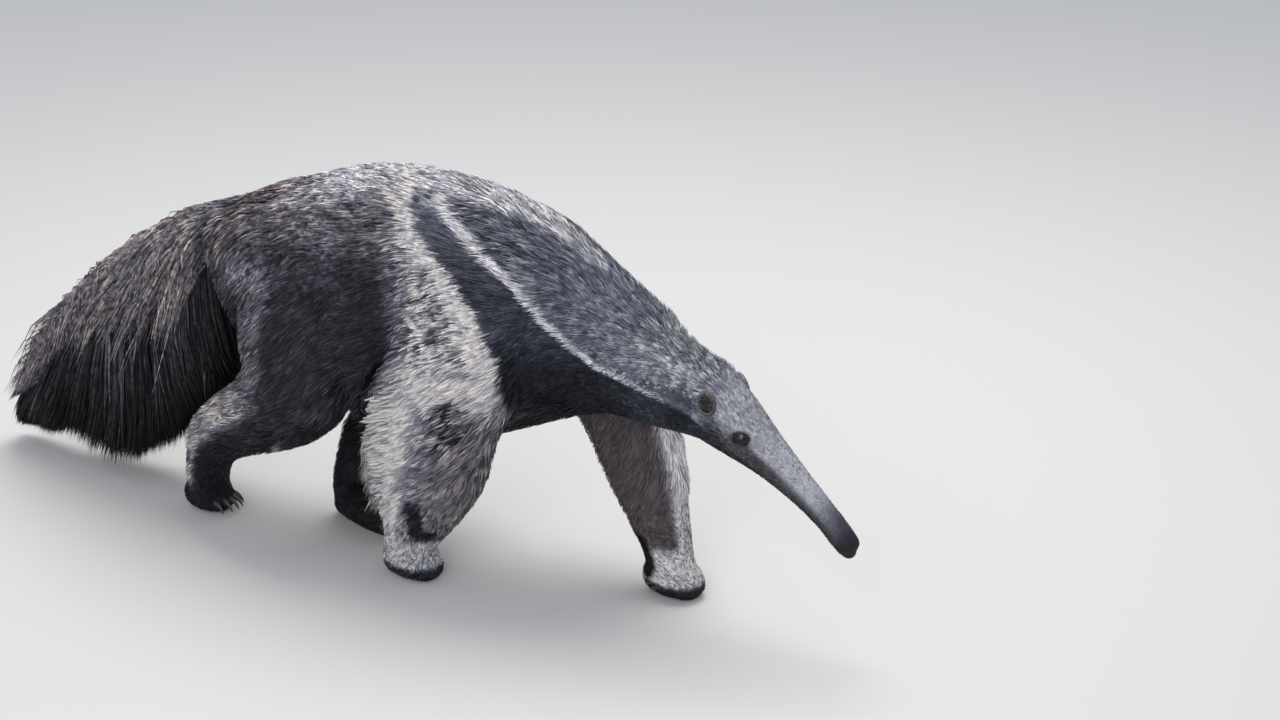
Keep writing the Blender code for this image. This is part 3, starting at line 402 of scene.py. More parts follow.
def on_leg(place, key):
    """How far from a leg's axis a point is, in radii, how far ahead and out, and the axis."""
    sign, rows = LEGS[key]
    rows = np.array(across_middle(rows, sign))
    best = np.full(len(place), 9.0)
    ahead, out = np.zeros((2, len(place)))
    axis = np.zeros((len(place), 3))
    for i in range(len(rows) - 1):
        start, end = rows[i, :3], rows[i + 1, :3]
        way = end - start
        t = np.clip((place - start) @ way / (way @ way), 0.0, 1.0)
        off = place - (start + t[:, None] * way)
        unit = way / np.linalg.norm(way)
        front = np.cross((0.0, 1.0, 0.0), unit)
        front = front / np.linalg.norm(front) * (1.0 if front[0] > 0 else -1.0)
        fore = rows[i, 3] + (rows[i + 1, 3] - rows[i, 3]) * t
        aside = rows[i, 4] + (rows[i + 1, 4] - rows[i, 4]) * t
        a, b = off @ front / fore, off[:, 1] * sign / aside
        near = np.hypot(a, b) + 0.4 * np.abs(off @ unit) / fore
        closer = near < best
        best = np.where(closer, near, best)
        ahead = np.where(closer, a, ahead)
        out = np.where(closer, b, out)
        axis[closer] = unit
    return best, ahead, out, axis


def leg_share(place, key, top, low):
    """1 on a leg, fading to 0 between two heights and away from the leg."""
    best = on_leg(place, key)[0]
    own_side = np.where(place[:, 1] * LEGS[key][0] > -0.02, 1.0, 0.0)
    return ease(1.45, 1.15, best) * ease(top, low, place[:, 2]) * own_side


def near_line(place, points, radius):
    """1 along a line of (x, y, z) points, fading out over a radius."""
    best = np.full(len(place), 9.0)
    points = np.array(points, float)
    for start, end in zip(points, points[1:]):
        way = end - start
        t = np.clip((place - start) @ way / (way @ way), 0.0, 1.0)
        best = np.minimum(best, np.linalg.norm(place - (start + t[:, None] * way), axis=1))
    return ease(radius, radius * 0.55, best)


def near_lines(place, lines):
    """1 along any of several lines."""
    return np.maximum.reduce([near_line(place, *line) for line in lines])


def blend(first, second, share):
    return first + (second - first) * share


def lay(coat, share, **values):
    """Lays a lightness, a brown or a grizzle over the coat's markings so far, by a share."""
    for key, value in values.items():
        coat[key] = blend(coat[key], value, share)


def mark_trunk(place):
    """Black flanks, a grey-brown back and rump, a blue-grey neck and the silver crest."""
    x, y, z = place.T
    up = height_on(TRUNK, x, z)
    light = blend(0.16, 0.43, ease(0.26, 0.66, up))
    coat = {
        "light": blend(light, 0.07, ease(-0.10, -0.45, up) * ease(0.46, 0.40, x)),
        "brown": 0.10 + 0.48 * ease(0.30, 0.16, x) + 0.34 * ease(0.14, -0.12, x),
        "grizzle": blend(0.06, 0.17, ease(0.26, 0.62, up)),
    }
    lay(coat, ease(-0.02, -0.12, x) * ease(0.30, 0.42, z), light=0.47, grizzle=0.22)
    neck = ease(0.36, 0.46, x)
    # The upper neck pales towards the head: partly paler fur, partly painted light
    lay(coat, neck * ease(-0.35, 0.0, up), light=0.57 + 0.22 * ease(0.48, 0.62, x))
    lay(coat, neck, brown=0.0, grizzle=0.11)
    crest_half = np.interp(x, *CREST)
    crest = ease(crest_half, crest_half * 0.5, np.abs(y)) * ease(0.4, 0.7, up)
    lay(coat, crest * ease(-0.12, 0.06, x) * ease(0.56, 0.39, x), light=0.92, brown=0.04)
    return coat


def mark_shoulder(coat, place):
    """Pale shoulder, black wedge of chest and throat under the white stripe, painted shadow just
    above it.
    """
    x, y, z = place.T
    arm_x = x - along_line(LEFT_AHEAD, z) * (y > 0)
    from_rear = arm_x - along_line(PALE_REAR, z)
    to_front = along_line(WEDGE_REAR, z) - arm_x
    arm = ease(-0.034, 0.030, from_rear) * ease(0.235, 0.265, z) * ease(0.605, 0.575, z)
    arm = arm * ease(-0.004, 0.006, to_front) * np.maximum(
        ease(0.085, 0.110, np.abs(y)), ease(0.34, 0.42, z))
    arm_light = blend(0.80, 1.00, ease(0.066, 0.030, to_front))
    arm_light = blend(arm_light, 0.94, ease(0.40, 0.34, z))
    arm_grizzle = blend(0.24, 0.06, ease(0.052, 0.018, to_front))
    arm_grizzle = blend(arm_grizzle, 0.10, ease(0.38, 0.33, z))
    lay(coat, arm, light=arm_light, brown=0.18, grizzle=arm_grizzle)
    above = (z - np.interp(x, *zip(*STRIPE))) / np.sqrt(1 + np.interp(x, *STRIPE_SLOPE) ** 2)
    wedge = ease(0.004, -0.004, above) * ease(0.004, -0.004, to_front) * ease(0.740, 0.705, x)
    wedge_light = blend(0.31, 0.50, ease(0.49, 0.56, z))
    wedge_light = blend(wedge_light, 0.25, ease(0.57, 0.63, x))
    wedge_light = blend(wedge_light, 0.05, ease(0.43, 0.36, z) * ease(0.60, 0.48, x))
    lay(coat, wedge, light=wedge_light, brown=0.0, grizzle=0.06)
    # Painted shadow: the neck just above the white stripe is darkened towards the head.
    painted_shadow_over_stripe = ease(0.034, 0.008, above) * ease(0.0, 0.004, above) * ease(0.52, 0.60, x)
    coat["light"] = coat["light"] - 0.17 * painted_shadow_over_stripe * ease(0.690, 0.650, x)
    stripe_half = 0.0068 + 0.0010 * ease(0.42, 0.26, x)
    stripe = ease(stripe_half, stripe_half - 0.0038, np.abs(above))
    stripe = stripe * ease(0.195, 0.235, x) * ease(0.676, 0.650, x)
    lay(coat, stripe, light=blend(0.97, 0.80, ease(0.44, 0.64, x)), brown=0.02, grizzle=0.04)
    return wedge


def mark_forelegs(coat, place):
    """White down the rear edge, grey-brown ahead, brown inside, with dark patch and wrist."""
    x, y, z = place.T
    for key in ("fore_right", "fore_left"):
        _, ahead, out, _ = on_leg(place, key)
        inner = ease(0.10, -0.35, out)
        leg_light = blend(0.64, 0.58, ease(-0.1, 0.5, ahead))
        leg_light = blend(leg_light, 1.0, ease(-0.02, -0.30, ahead))
        leg_light = blend(leg_light, 0.45, inner * ease(-0.95, -0.7, ahead))
        leg_brown = np.maximum(inner, 0.16 + 0.44 * ease(-0.1, 0.5, ahead))
        if key == "fore_left":
            front = ease(0.15, 0.40, ahead) * ease(-0.62, -0.30, out)
            leg_light = blend(leg_light, 1.0, front)
            leg_brown = leg_brown * (1 - front)
        lay(coat, leg_share(place, key, 0.335, 0.275), light=leg_light,
            brown=np.clip(leg_brown, 0, 1), grizzle=0.13 - 0.09 * inner)
    patch = near_lines(place, PATCHES)
    lay(coat, patch * 0.92, light=0.34)
    lay(coat, patch, grizzle=0.26)
    wrist = near_lines(place, WRISTS)
    lay(coat, wrist, light=0.03)
    hand = ease(0.085, 0.065, z) * ease(0.10, 0.14, x) * (1 - wrist)
    lay(coat, hand * ease(0.016, 0.028, z), light=blend(0.86, 0.97, y > 0))
    lay(coat, hand, brown=0.1)
    lay(coat, ease(0.026, 0.015, z) * ease(0.10, 0.14, x), light=0.14)


def mark_hind_legs(coat, place):
    """Black, with a pale line down the rear edge of the thigh and round the hock."""
    x, _, z = place.T
    for key in ("hind_right", "hind_left"):
        _, ahead, out, _ = on_leg(place, key)
        leg = leg_share(place, key, 0.520, 0.420) * ease(0.17, 0.12, x)
        lay(coat, leg, light=blend(0.21, 0.06, ease(0.25, 0.10, z)), brown=0.45, grizzle=0.07)
        line = blend(ease(0.15, -0.30, ahead) * ease(-0.6, -0.1, out),
                     ease(-0.20, -0.46, ahead) * ease(0.05, 0.40, out), ease(0.235, 0.285, z))
        line = line * leg * ease(0.030, 0.070, z) * ease(0.49, 0.43, z)
        lay(coat, line, light=blend(0.52, 0.78, ease(0.27, 0.20, z)), grizzle=0.16)


def mark_head(coat, place, wedge):
    """Pale above and along the snout, browner below with painted shade under it, dark at eye, cheek
    and tip, painted shadow below the ear.
    """
    x, _, z = place.T
    rise = 0.85 * height_on(HEAD, x, z)
    light = blend(0.42, 0.83, ease(-0.24, 0.42, rise))
    # Painted shade: the underside of the head and snout is darkened
    light = blend(light, 0.15, ease(-0.15, -0.62, rise))
    light = blend(light, 0.76, ease(0.700, 0.665, x) * ease(0.2, 0.8, rise))
    light = blend(light, 0.31, ease(0.820, 0.880, x))
    light = blend(light, 0.12, ease(0.256, 0.280, along_head(x, z)))
    brown = np.maximum(blend(0.60, 0.0, ease(-0.3, 0.30, rise)), 0.5 * ease(0.82, 0.88, x))
    for sign in (-1, 1):
        as_left = place * (1, sign, 1)
        cheek, round_eye, painted_shadow_below_ear = (
            near_line(as_left, *line) for line in (CHEEK, ROUND_EYE, PAINTED_SHADOW_BELOW_EAR))
        light = blend(light, 0.42, cheek * 0.80 * ease(0.845, 0.740, x))
        light = blend(light, 0.20, round_eye)
        # Painted shadow below the ear
        light = blend(light, 0.34, painted_shadow_below_ear * 0.85)
        brown = np.maximum(brown, np.maximum(cheek * ease(0.84, 0.76, x), round_eye) * 0.9)
    face = ease(0.645, 0.700, x)
    lay(coat, face * (1 - wedge), light=light)
    lay(coat, face * (1 - 0.5 * wedge), brown=brown)
    lay(coat, face, grizzle=0.09)


def markings(place):
    """Lightness from 0, black, to 1, white; how brown it is; and how grizzled."""
    x, _, z = place.T
    coat = mark_trunk(place)
    wedge = mark_shoulder(coat, place)
    mark_forelegs(coat, place)
    mark_hind_legs(coat, place)
    tail = ease(-0.16, -0.215, x) * ease(0.0, 0.06, z - 0.20 + 0.9 * np.maximum(-0.25 - x, 0))
    lay(coat, tail, light=0.44, brown=0.50)
    mark_head(coat, place, wedge)
    return np.clip(coat["light"], 0, 1), np.clip(coat["brown"], 0, 1), coat["grizzle"]


class Wire:
    """A socket of a finish, whose sums and products add Math nodes."""

    def __init__(self, finish, socket):
        self.finish = finish
        self.socket = socket

    def join(self, operation, first, second):
        return self.finish.node("Math", {"operation": operation}, {0: first, 1: second})

    def __add__(self, other):
        return self.join("ADD", self, other)

    def __radd__(self, other):
        return self.join("ADD", other, self)

    def __sub__(self, other):
        return self.join("SUBTRACT", self, other)

    def __rsub__(self, other):
        return self.join("SUBTRACT", other, self)

    def __mul__(self, other):
        return self.join("MULTIPLY", self, other)

    def __rmul__(self, other):
        return self.join("MULTIPLY", other, self)


class Finish:
    """One material with the nodes that colour it."""

    def __init__(self, name, **constants):
        self.material = bpy.data.materials.new(name)
        self.material.use_nodes = True
        self.tree = self.material.node_tree
        self.shader = self.tree.nodes["Principled BSDF"]
        for key, value in constants.items():
            self.shader.inputs[key.replace("_", " ")].default_value = value

    def node(self, kind, settings=None, inputs=None, output=0):
        """Adds a node: its settings come first, then a value or a link for each socket."""
        made = self.tree.nodes.new("ShaderNode" + kind)
        for key, value in (settings or {}).items():
            if key == "stops":
                ramp = made.color_ramp
                while len(ramp.elements) < len(value):
                    ramp.elements.new(0.5)
                for element, (position, colour) in zip(ramp.elements, value):
                    element.position = position
                    element.color = (*colour, 1.0)
            else:
                setattr(made, key, value)
        for key, value in (inputs or {}).items():
            self.feed(made.inputs[key], value)
        return Wire(self, made.outputs[output])

    def feed(self, socket, value):
        if isinstance(value, Wire):
            self.tree.links.new(value.socket, socket)
        else:
            socket.default_value = value

    def mix(self, share, first, second, how="MIX"):
        return self.node("Mix", {"data_type": "RGBA", "blend_type": how},
                         {0: share, 6: first, 7: second}, 2)

    def field(self, name):
        return self.node("Attribute", {"attribute_name": name}, {}, 2)

    def place(self):
        """Object coordinates."""
        return self.node("TexCoord", {}, {}, 3)

    def mottle(self, place, scale, detail):
        return self.node("TexNoise", {}, {"Vector": place, "Scale": scale, "Detail": detail})

    def toned(self, colour, shade):
        """A colour made darker or lighter by a number."""
        grey = self.node("CombineColor", {}, {"Red": shade, "Green": shade, "Blue": shade})
        return self.mix(1.0, colour, grey, "MULTIPLY")

    def shows(self, name, value):
        self.feed(self.shader.inputs[name], value)

    def relief(self, height, strength, distance):
        self.shows("Normal", self.node("Bump", {}, {
            "Strength": strength, "Distance": distance, "Height": height}))


# Hair colours from black to white, as the lightness of the markings goes from 0 to 1
HAIR = (
    (0.00, (0.0045, 0.0050, 0.0070)), (0.20, (0.0170, 0.0190, 0.0265)),
    (0.40, (0.0560, 0.0600, 0.0790)), (0.60, (0.1380, 0.1460, 0.1830)),
    (0.80, (0.3050, 0.3060, 0.3450)), (1.00, (0.7200, 0.6950, 0.6900)),
)
BROWNED = (1.00, 0.80, 0.66, 1.0)


def hair_colour(finish):
    """The colour of the markings, from their fields on skin and coat."""
    grey = finish.node("ValToRGB", {"stops": HAIR}, {0: finish.field("light")})
    tinted = finish.mix(1.0, grey, BROWNED, "MULTIPLY")
    return finish.mix(finish.field("brown"), grey, tinted)


def set_field(obj, name, values):
    field = obj.data.attributes.new(name, "FLOAT", "POINT")
    field.data.foreach_set("value", np.asarray(values, np.float32))


def points_of(obj):
    flat = np.zeros(len(obj.data.vertices) * 3, np.float32)
    obj.data.vertices.foreach_get("co", flat)
    return flat.reshape(-1, 3).astype(float)


# The skin shows only on nose, lids, lips, soles and between the shortest hairs, so its finish is
# the markings with the close-lying hair of the face as fine bump, and a damp, pebbled nose.
UNDER_HAIR = 0.66  # how much darker the skin is where hair covers it
shift = np.array(SHIFT)
skin_light, skin_brown, _ = markings(points_of(skin) - shift)
skin_on_face = ease(0.655, 0.700, points_of(skin)[:, 0] - shift[0])
set_field(skin, "light", skin_light * (UNDER_HAIR + (1 - UNDER_HAIR) * skin_on_face))
set_field(skin, "brown", skin_brown)
skin_look = Finish("hide", Specular_IOR_Level=0.25)
where = skin_look.place()
stretched = skin_look.node("Mapping", {}, {
    "Vector": where, "Rotation": (0.0, -HEAD_PITCH, 0.0), "Scale": (160.0, 900.0, 900.0)})
strokes = skin_look.mottle(stretched, 1.0, 3.0)
pebbles = skin_look.node("TexVoronoi", {}, {"Vector": where, "Scale": 900.0})
patches = skin_look.mottle(where, 70.0, 3.0)
skin_look.shows("Base Color", skin_look.toned(
    hair_colour(skin_look), 0.72 + 0.34 * strokes + 0.22 * patches))
skin_look.shows("Roughness", 0.62 + 0.15 * patches)
skin_look.relief(strokes + 0.25 * pebbles, 0.55, 0.0012)
skin.data.materials.clear()
skin.data.materials.append(skin_look.material)

# ---------------------------------------------------------------------------------------------
# The eyes: small, dark brown and wet, round behind lids that cover their rims. Each is a polished
# ball whose clear front bulges a little, over a brown iris and a black pupil.
CORNEA = 0.80  # where the clear front starts, as a share of the radius
CORNEA_BULGE = 0.0005
IRIS_SCALE = 125.0
IRIS = ((0.00, (0.0015, 0.0012, 0.0010)), (0.24, (0.0020, 0.0015, 0.0012)),
        (0.30, (0.0300, 0.0140, 0.0070)), (0.52, (0.0180, 0.0085, 0.0050)),
        (0.62, (0.0060, 0.0040, 0.0035)), (1.00, (0.0100, 0.0070, 0.0060)))


def iris_colour(finish, sign):
    """Black pupil, brown iris and dark rim, by the distance from the middle of the gaze."""
    gaze = mirrored(EYE, sign) + SHIFT + mirrored(EYE_FACING, sign) * EYE_RADIUS
    off = finish.node("VectorMath", {"operation": "DISTANCE"}, {0: finish.place(), 1: gaze}, 1)
    return finish.node("ValToRGB", {"stops": IRIS}, {0: off * IRIS_SCALE})


for side, sign in (("right", -1), ("left", 1)):
    bpy.ops.object.select_all(action="DESELECT")
    bpy.ops.mesh.primitive_uv_sphere_add(
        segments=32, ring_count=24, radius=EYE_RADIUS, location=mirrored(EYE, sign) + SHIFT,
        rotation=facing_turn(mirrored(EYE_FACING, sign)))
    eyeball = bpy.context.active_object
    eyeball.name = "eyeball_" + side
    bpy.ops.object.mode_set(mode="EDIT")
    bpy.ops.mesh.select_all(action="DESELECT")
    bpy.ops.object.mode_set(mode="OBJECT")
    for vertex in eyeball.data.vertices:
        vertex.select = vertex.co.z > EYE_RADIUS * CORNEA
    bpy.ops.object.mode_set(mode="EDIT")
    bpy.ops.transform.translate(value=mirrored(EYE_FACING, sign) * CORNEA_BULGE)
    bpy.ops.object.mode_set(mode="OBJECT")
    bpy.ops.object.transform_apply(location=True, rotation=True, scale=True)
    bpy.ops.object.shade_smooth()
    eye_look = Finish("wet_eye_" + side, Roughness=0.06, Coat_Weight=1.0, Coat_Roughness=0.02)
    eye_look.shows("Base Color", iris_colour(eye_look, sign))
    eyeball.data.materials.append(eye_look.material)
    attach(eyeball, "root")
    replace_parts(eyeball, "eye_" + side)

# ---------------------------------------------------------------------------------------------
# The ears: short oval cups of thin gristle and skin that stand off the back of the head, dark and
# bare inside, with a grey rim from which short hair grows. Each is a ball pressed in from the
# front and thinned.
EAR = Vector((0.673, 0.041, 0.350))
EAR_FACING = Vector((0.42, 0.86, 0.28)).normalized()
EAR_UP = Vector((-0.10, 0.30, 1.0))
EAR_HALF = (0.0110, 0.0158, 0.0118)
EAR_LIFT, EAR_OUT = 0.0085, 0.0070
EAR_HOLLOW = ((0.3, (0.012, 0.009, 0.008)), (0.7, (0.045, 0.032, 0.028)))
EAR_RIM = ((0.3, (0.090, 0.085, 0.092)), (0.7, (0.190, 0.180, 0.190)))


def ear_middle(sign):
    """The middle of an ear, off the head by most of the cup's depth, its own up and its front."""
    facing, high = mirrored(EAR_FACING, sign), mirrored(EAR_UP, sign)
    high = (high - facing * high.dot(facing)).normalized()
    return mirrored(EAR, sign) + high * EAR_LIFT + facing * EAR_OUT, high, facing


ear_look = Finish("ear_skin", Specular_IOR_Level=0.3)
ear_mottle = ear_look.mottle(ear_look.place(), 260.0, 4.0)
ear_look.shows("Base Color", ear_look.mix(
    ear_look.field("rim"), ear_look.node("ValToRGB", {"stops": EAR_HOLLOW}, {0: ear_mottle}),
    ear_look.node("ValToRGB", {"stops": EAR_RIM}, {0: ear_mottle})))
ear_look.shows("Roughness", 0.55 + 0.2 * ear_mottle)
ear_look.relief(ear_mottle, 0.5, 0.001)
for side, sign in (("right", -1), ("left", 1)):
    middle, high, facing = ear_middle(sign)
    middle = middle + SHIFT
    bpy.ops.object.select_all(action="DESELECT")
    bpy.ops.mesh.primitive_uv_sphere_add(
        segments=36, ring_count=26, radius=1.0, location=middle, rotation=facing_turn(facing, high))
    ear = bpy.context.active_object
    ear.name = "ear_cup_" + side
    ear.scale = EAR_HALF
    # Press the front of the ball in to a cup, deepest in the middle, and narrow its top
    for vertex in ear.data.vertices:
        x, y, z = vertex.co
        out = math.hypot(x, y)
        if z > -0.05:
            hollow = 1.0 - float(ease(0.72, 1.0, out))
            vertex.co.z = (z * (1 - hollow) - hollow * (0.62 - 0.35 * out)
                           + 0.30 * (1 - hollow) * out)
        vertex.co.x = x * (1.0 - 0.10 * y)
    bpy.ops.object.transform_apply(location=True, rotation=True, scale=True)
    apply(ear, "SUBSURF", levels=1, render_levels=1)
    off = points_of(ear) - np.array(middle)
    forward = off @ np.array(facing)
    across = np.hypot(off @ np.array(high) / EAR_HALF[1],
                      off @ np.array(high.cross(facing)) / EAR_HALF[0])
    rim = np.maximum(ease(0.80, 0.93, across), ease(0.001, -0.003, forward))
    inner = (forward < 0.0035) & (forward > -0.0095) & (across < 0.84)
    set_field(ear, "rim", np.where(inner, 0.0, rim))
    bpy.ops.object.shade_smooth()
    ear.data.materials.append(ear_look.material)
    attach(ear, "root")
    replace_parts(ear, "ear_" + side)

# ---------------------------------------------------------------------------------------------
# The claws: curved horn sheaths, narrow and tapered. Three on each forefoot are folded in under the
# palm, as the animal walks on its knuckles, and five short ones point ahead on each hind foot.
CLAW_HORN = ((0.30, (0.016, 0.014, 0.013)), (0.55, (0.040, 0.034, 0.030)),
             (0.80, (0.085, 0.072, 0.062)))
CLAW_STEPS = 9
CLAW_TIP = 0.0003
# Place across the palm, length and radius of the folded claws
FOLDED = ((1.02, 0.040, 0.0068), (0.74, 0.062, 0.0092), (0.40, 0.046, 0.0072))
TOE_CLAW = (0.029, 0.0050)

claw_look = Finish("claw_horn", Specular_IOR_Level=0.5)
claw_grain = claw_look.mottle(claw_look.node("Mapping", {}, {
    "Vector": claw_look.place(), "Scale": (90.0, 400.0, 400.0)}), 1.0, 4.0)
claw_look.shows("Base Color", claw_look.node("ValToRGB", {"stops": CLAW_HORN}, {0: claw_grain}))
claw_look.shows("Roughness", 0.32 + 0.25 * claw_grain)
claw_look.relief(claw_grain, 0.4, 0.0008)


def claw(name, root, way, bend, length, radius):
    """A claw drawn out of a ring in steps, each smaller and turned further to its bend."""
    way, bend = Vector(way).normalized(), Vector(bend).normalized()
    side_way = way.cross(bend).normalized()
    rings = []
    bpy.ops.object.select_all(action="DESELECT")
    for i in range(CLAW_STEPS + 1):
        t = i / CLAW_STEPS
        place = Vector(root) + way * (length * t * (1 - 0.35 * t)) + bend * (length * 0.45 * t * t)
        along = (way * (1 - 0.70 * t) + bend * (0.90 * t)).normalized()
        turn = Matrix((side_way.cross(along), side_way, along)).transposed().to_euler()
        size = radius * (1.0 - t) ** 0.75 + CLAW_TIP
        rings.append(hoop(place + SHIFT, turn, (size, size * 0.70), 14))
    made = lofted(name, rings)
    bpy.ops.object.shade_smooth()
    made.data.materials.append(claw_look.material)
    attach(made, "root")
    return made


for key, (heel, toe, height, width) in FEET.items():
    pair, side = key.split("_")
    sign = LEGS[key][0]
    if pair == "fore":
        for number, (share, length, radius) in enumerate(FOLDED, 1):
            x = heel[0] + (toe[0] - heel[0]) * share
            y = heel[1] + (toe[1] - heel[1]) * share - sign * width * 0.45
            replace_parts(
                claw(f"folded_claw_{side}_{number}", (x, y, height * 0.68),
                     (-0.75, -sign * 0.62, -0.16), (-0.5, sign * 0.75, -0.30), length, radius),
                f"foreclaw_{side}_{number}")
        continue
    ahead = Vector((toe[0] - heel[0], toe[1] - heel[1], 0)).normalized()
    aside = Vector((-ahead.y, ahead.x, 0))
    for number in range(1, 6):
        spread = (number - 3) / 2
        root = (Vector((toe[0], toe[1], 0)) + ahead * (0.012 - 0.010 * spread * spread)
                + aside * (spread * width * 0.70) + Vector((0, 0, height * 0.62)))
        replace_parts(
            claw(f"toe_claw_{side}_{number}", root, ahead + aside * (spread * 0.22)
                 + Vector((0, 0, -0.12)), (0, 0, -1), *TOE_CLAW),
            f"hindclaw_{side}_{number}")

# ---------------------------------------------------------------------------------------------
# The coat of the back: coarse grizzled hair, 40 to 60 mm long, swept back and gathered in loose
# tufts, with the silver crest over the shoulders. Each tuft is a thin tapered blade of mesh rooted
# in the skin, and keeps a patch of the skin's unwrap for its colours.
skin_points = points_of(skin)
skin_mesh = skin.data
skin_mesh.calc_loop_triangles()
skin_triangles = np.zeros(len(skin_mesh.loop_triangles) * 3, np.int32)
skin_mesh.loop_triangles.foreach_get("vertices", skin_triangles)
skin_triangles = skin_triangles.reshape(-1, 3)
skin_normals = np.zeros(len(skin_mesh.vertices) * 3, np.float32)
skin_mesh.vertices.foreach_get("normal", skin_normals)
skin_normals = skin_normals.reshape(-1, 3).astype(float)
skin_tree = BVHTree.FromPolygons(skin_points.tolist(), skin_triangles.tolist())
FLOOR_CLEAR = 0.0035  # the lowest that the middle of a tuft may hang
PATCH = 0.003  # side of a tuft's place on the unwrap
BLADE_LOW = 0.0015  # the lowest that a blade's edge may reach
BLADE_SHAPE = ((0.0, 0.30, 0.62, 0.85), (0.62, 1.0, 0.80, 0.46))  # its width along its length
BACK, RUMP, FLANKS, NECK, FACE, BRUSH, FORE_RIGHT, FORE_LEFT, HIND_RIGHT, HIND_LEFT = range(10)
RUMP_END, NECK_START = 0.13, 0.43
TAIL_ROOT = (-0.205, 0.43)
TAIL_LEAN = math.radians(16)  # of the plane between rump and tail


def unit(vectors):
    return vectors / np.maximum(np.linalg.norm(vectors, axis=1), 1e-9)[:, None]


def nearest_skin(places):
    """The nearest places on the skin, with their outward normals."""
    found, normals = np.empty_like(places), np.empty_like(places)
    for i, place in enumerate(places):
        spot, normal, _, _ = skin_tree.find_nearest(place)
        found[i], normals[i] = spot, normal
    return found, normals


def noise(places, scale, seed):
    """Three smooth random waves over the animal, from -1 to 1."""
    chance = np.random.default_rng(seed)
    total = np.zeros((len(places), 3))
    for _ in range(7):
        way = chance.normal(size=(3, 3)) * (1.0 / scale)
        total += np.sin(places @ way + chance.uniform(0, 6.28, 3))
    return total / 3.2


def zone_of(place):
    """Which coat a place on the skin belongs to."""
    x, y, z = place.T
    zone = np.where(height_on(TRUNK, x, z) > 0.25, np.where(x > RUMP_END, BACK, RUMP), FLANKS)
    zone = np.where(x > NECK_START, NECK, zone)
    zone = np.where((along_head(x, z) > 0.0) & (z > 0.13), FACE, zone)
    before_tail = ((x - TAIL_ROOT[0]) * math.cos(TAIL_LEAN)
                   + (z - TAIL_ROOT[1]) * math.sin(TAIL_LEAN))
    zone = np.where((before_tail < 0.0) & (z > 0.10), BRUSH, zone)
    for number, key in enumerate(LEGS, FORE_RIGHT):
        leg = leg_share(place, key, 0.40, 0.38) > 0.5
        low = (z < 0.215) & (on_leg(place, key)[0] < 1.9) & (y * LEGS[key][0] > 0)
        zone = np.where((leg | low) & (along_head(x, z) < 0), number, zone)
    return zone


zones = zone_of(skin_points[skin_triangles].mean(axis=1) - shift)


def bed_of(name, chosen):
    """The skin's triangles of one coat, with their place on an unwrap of that skin."""
    mesh = bpy.data.meshes.new(name)
    used, renumbered = np.unique(skin_triangles[chosen], return_inverse=True)
    mesh.from_pydata(skin_points[used].tolist(), [], renumbered.reshape(-1, 3).tolist())
    obj = bpy.data.objects.new(name, mesh)
    bpy.context.scene.collection.objects.link(obj)
    only(obj)
    bpy.ops.object.mode_set(mode="EDIT")
    bpy.ops.mesh.select_all(action="SELECT")
    bpy.ops.uv.smart_project(angle_limit=math.radians(66), island_margin=0.004)
    bpy.ops.object.mode_set(mode="OBJECT")
    spots = np.zeros(len(mesh.loops) * 2, np.float32)
    mesh.uv_layers[0].data.foreach_get("uv", spots)
    remove(obj)
    return skin_triangles[chosen], spots.reshape(-1, 3, 2).astype(float)


def sow(bed, count, chance, weight):
    """Random roots on a bed: places, normals and their spots on the unwrap."""
    triangles, spots = bed
    corners = skin_points[triangles]
    area = np.linalg.norm(np.cross(corners[:, 1] - corners[:, 0], corners[:, 2] - corners[:, 0]),
                          axis=1)
    share = area * weight(corners.mean(axis=1) - shift)
    chosen = chance.choice(len(triangles), count, p=share / share.sum())
    u, v = chance.random((2, count))
    over = u + v > 1
    u, v = np.where(over, 1 - u, u), np.where(over, 1 - v, v)
    mix = np.stack([1 - u - v, u, v], axis=1)[:, :, None]
    roots = (corners[chosen] * mix).sum(axis=1)
    normals = unit((skin_normals[triangles[chosen]] * mix).sum(axis=1))
    return roots, normals, (spots[chosen] * mix).sum(axis=1)


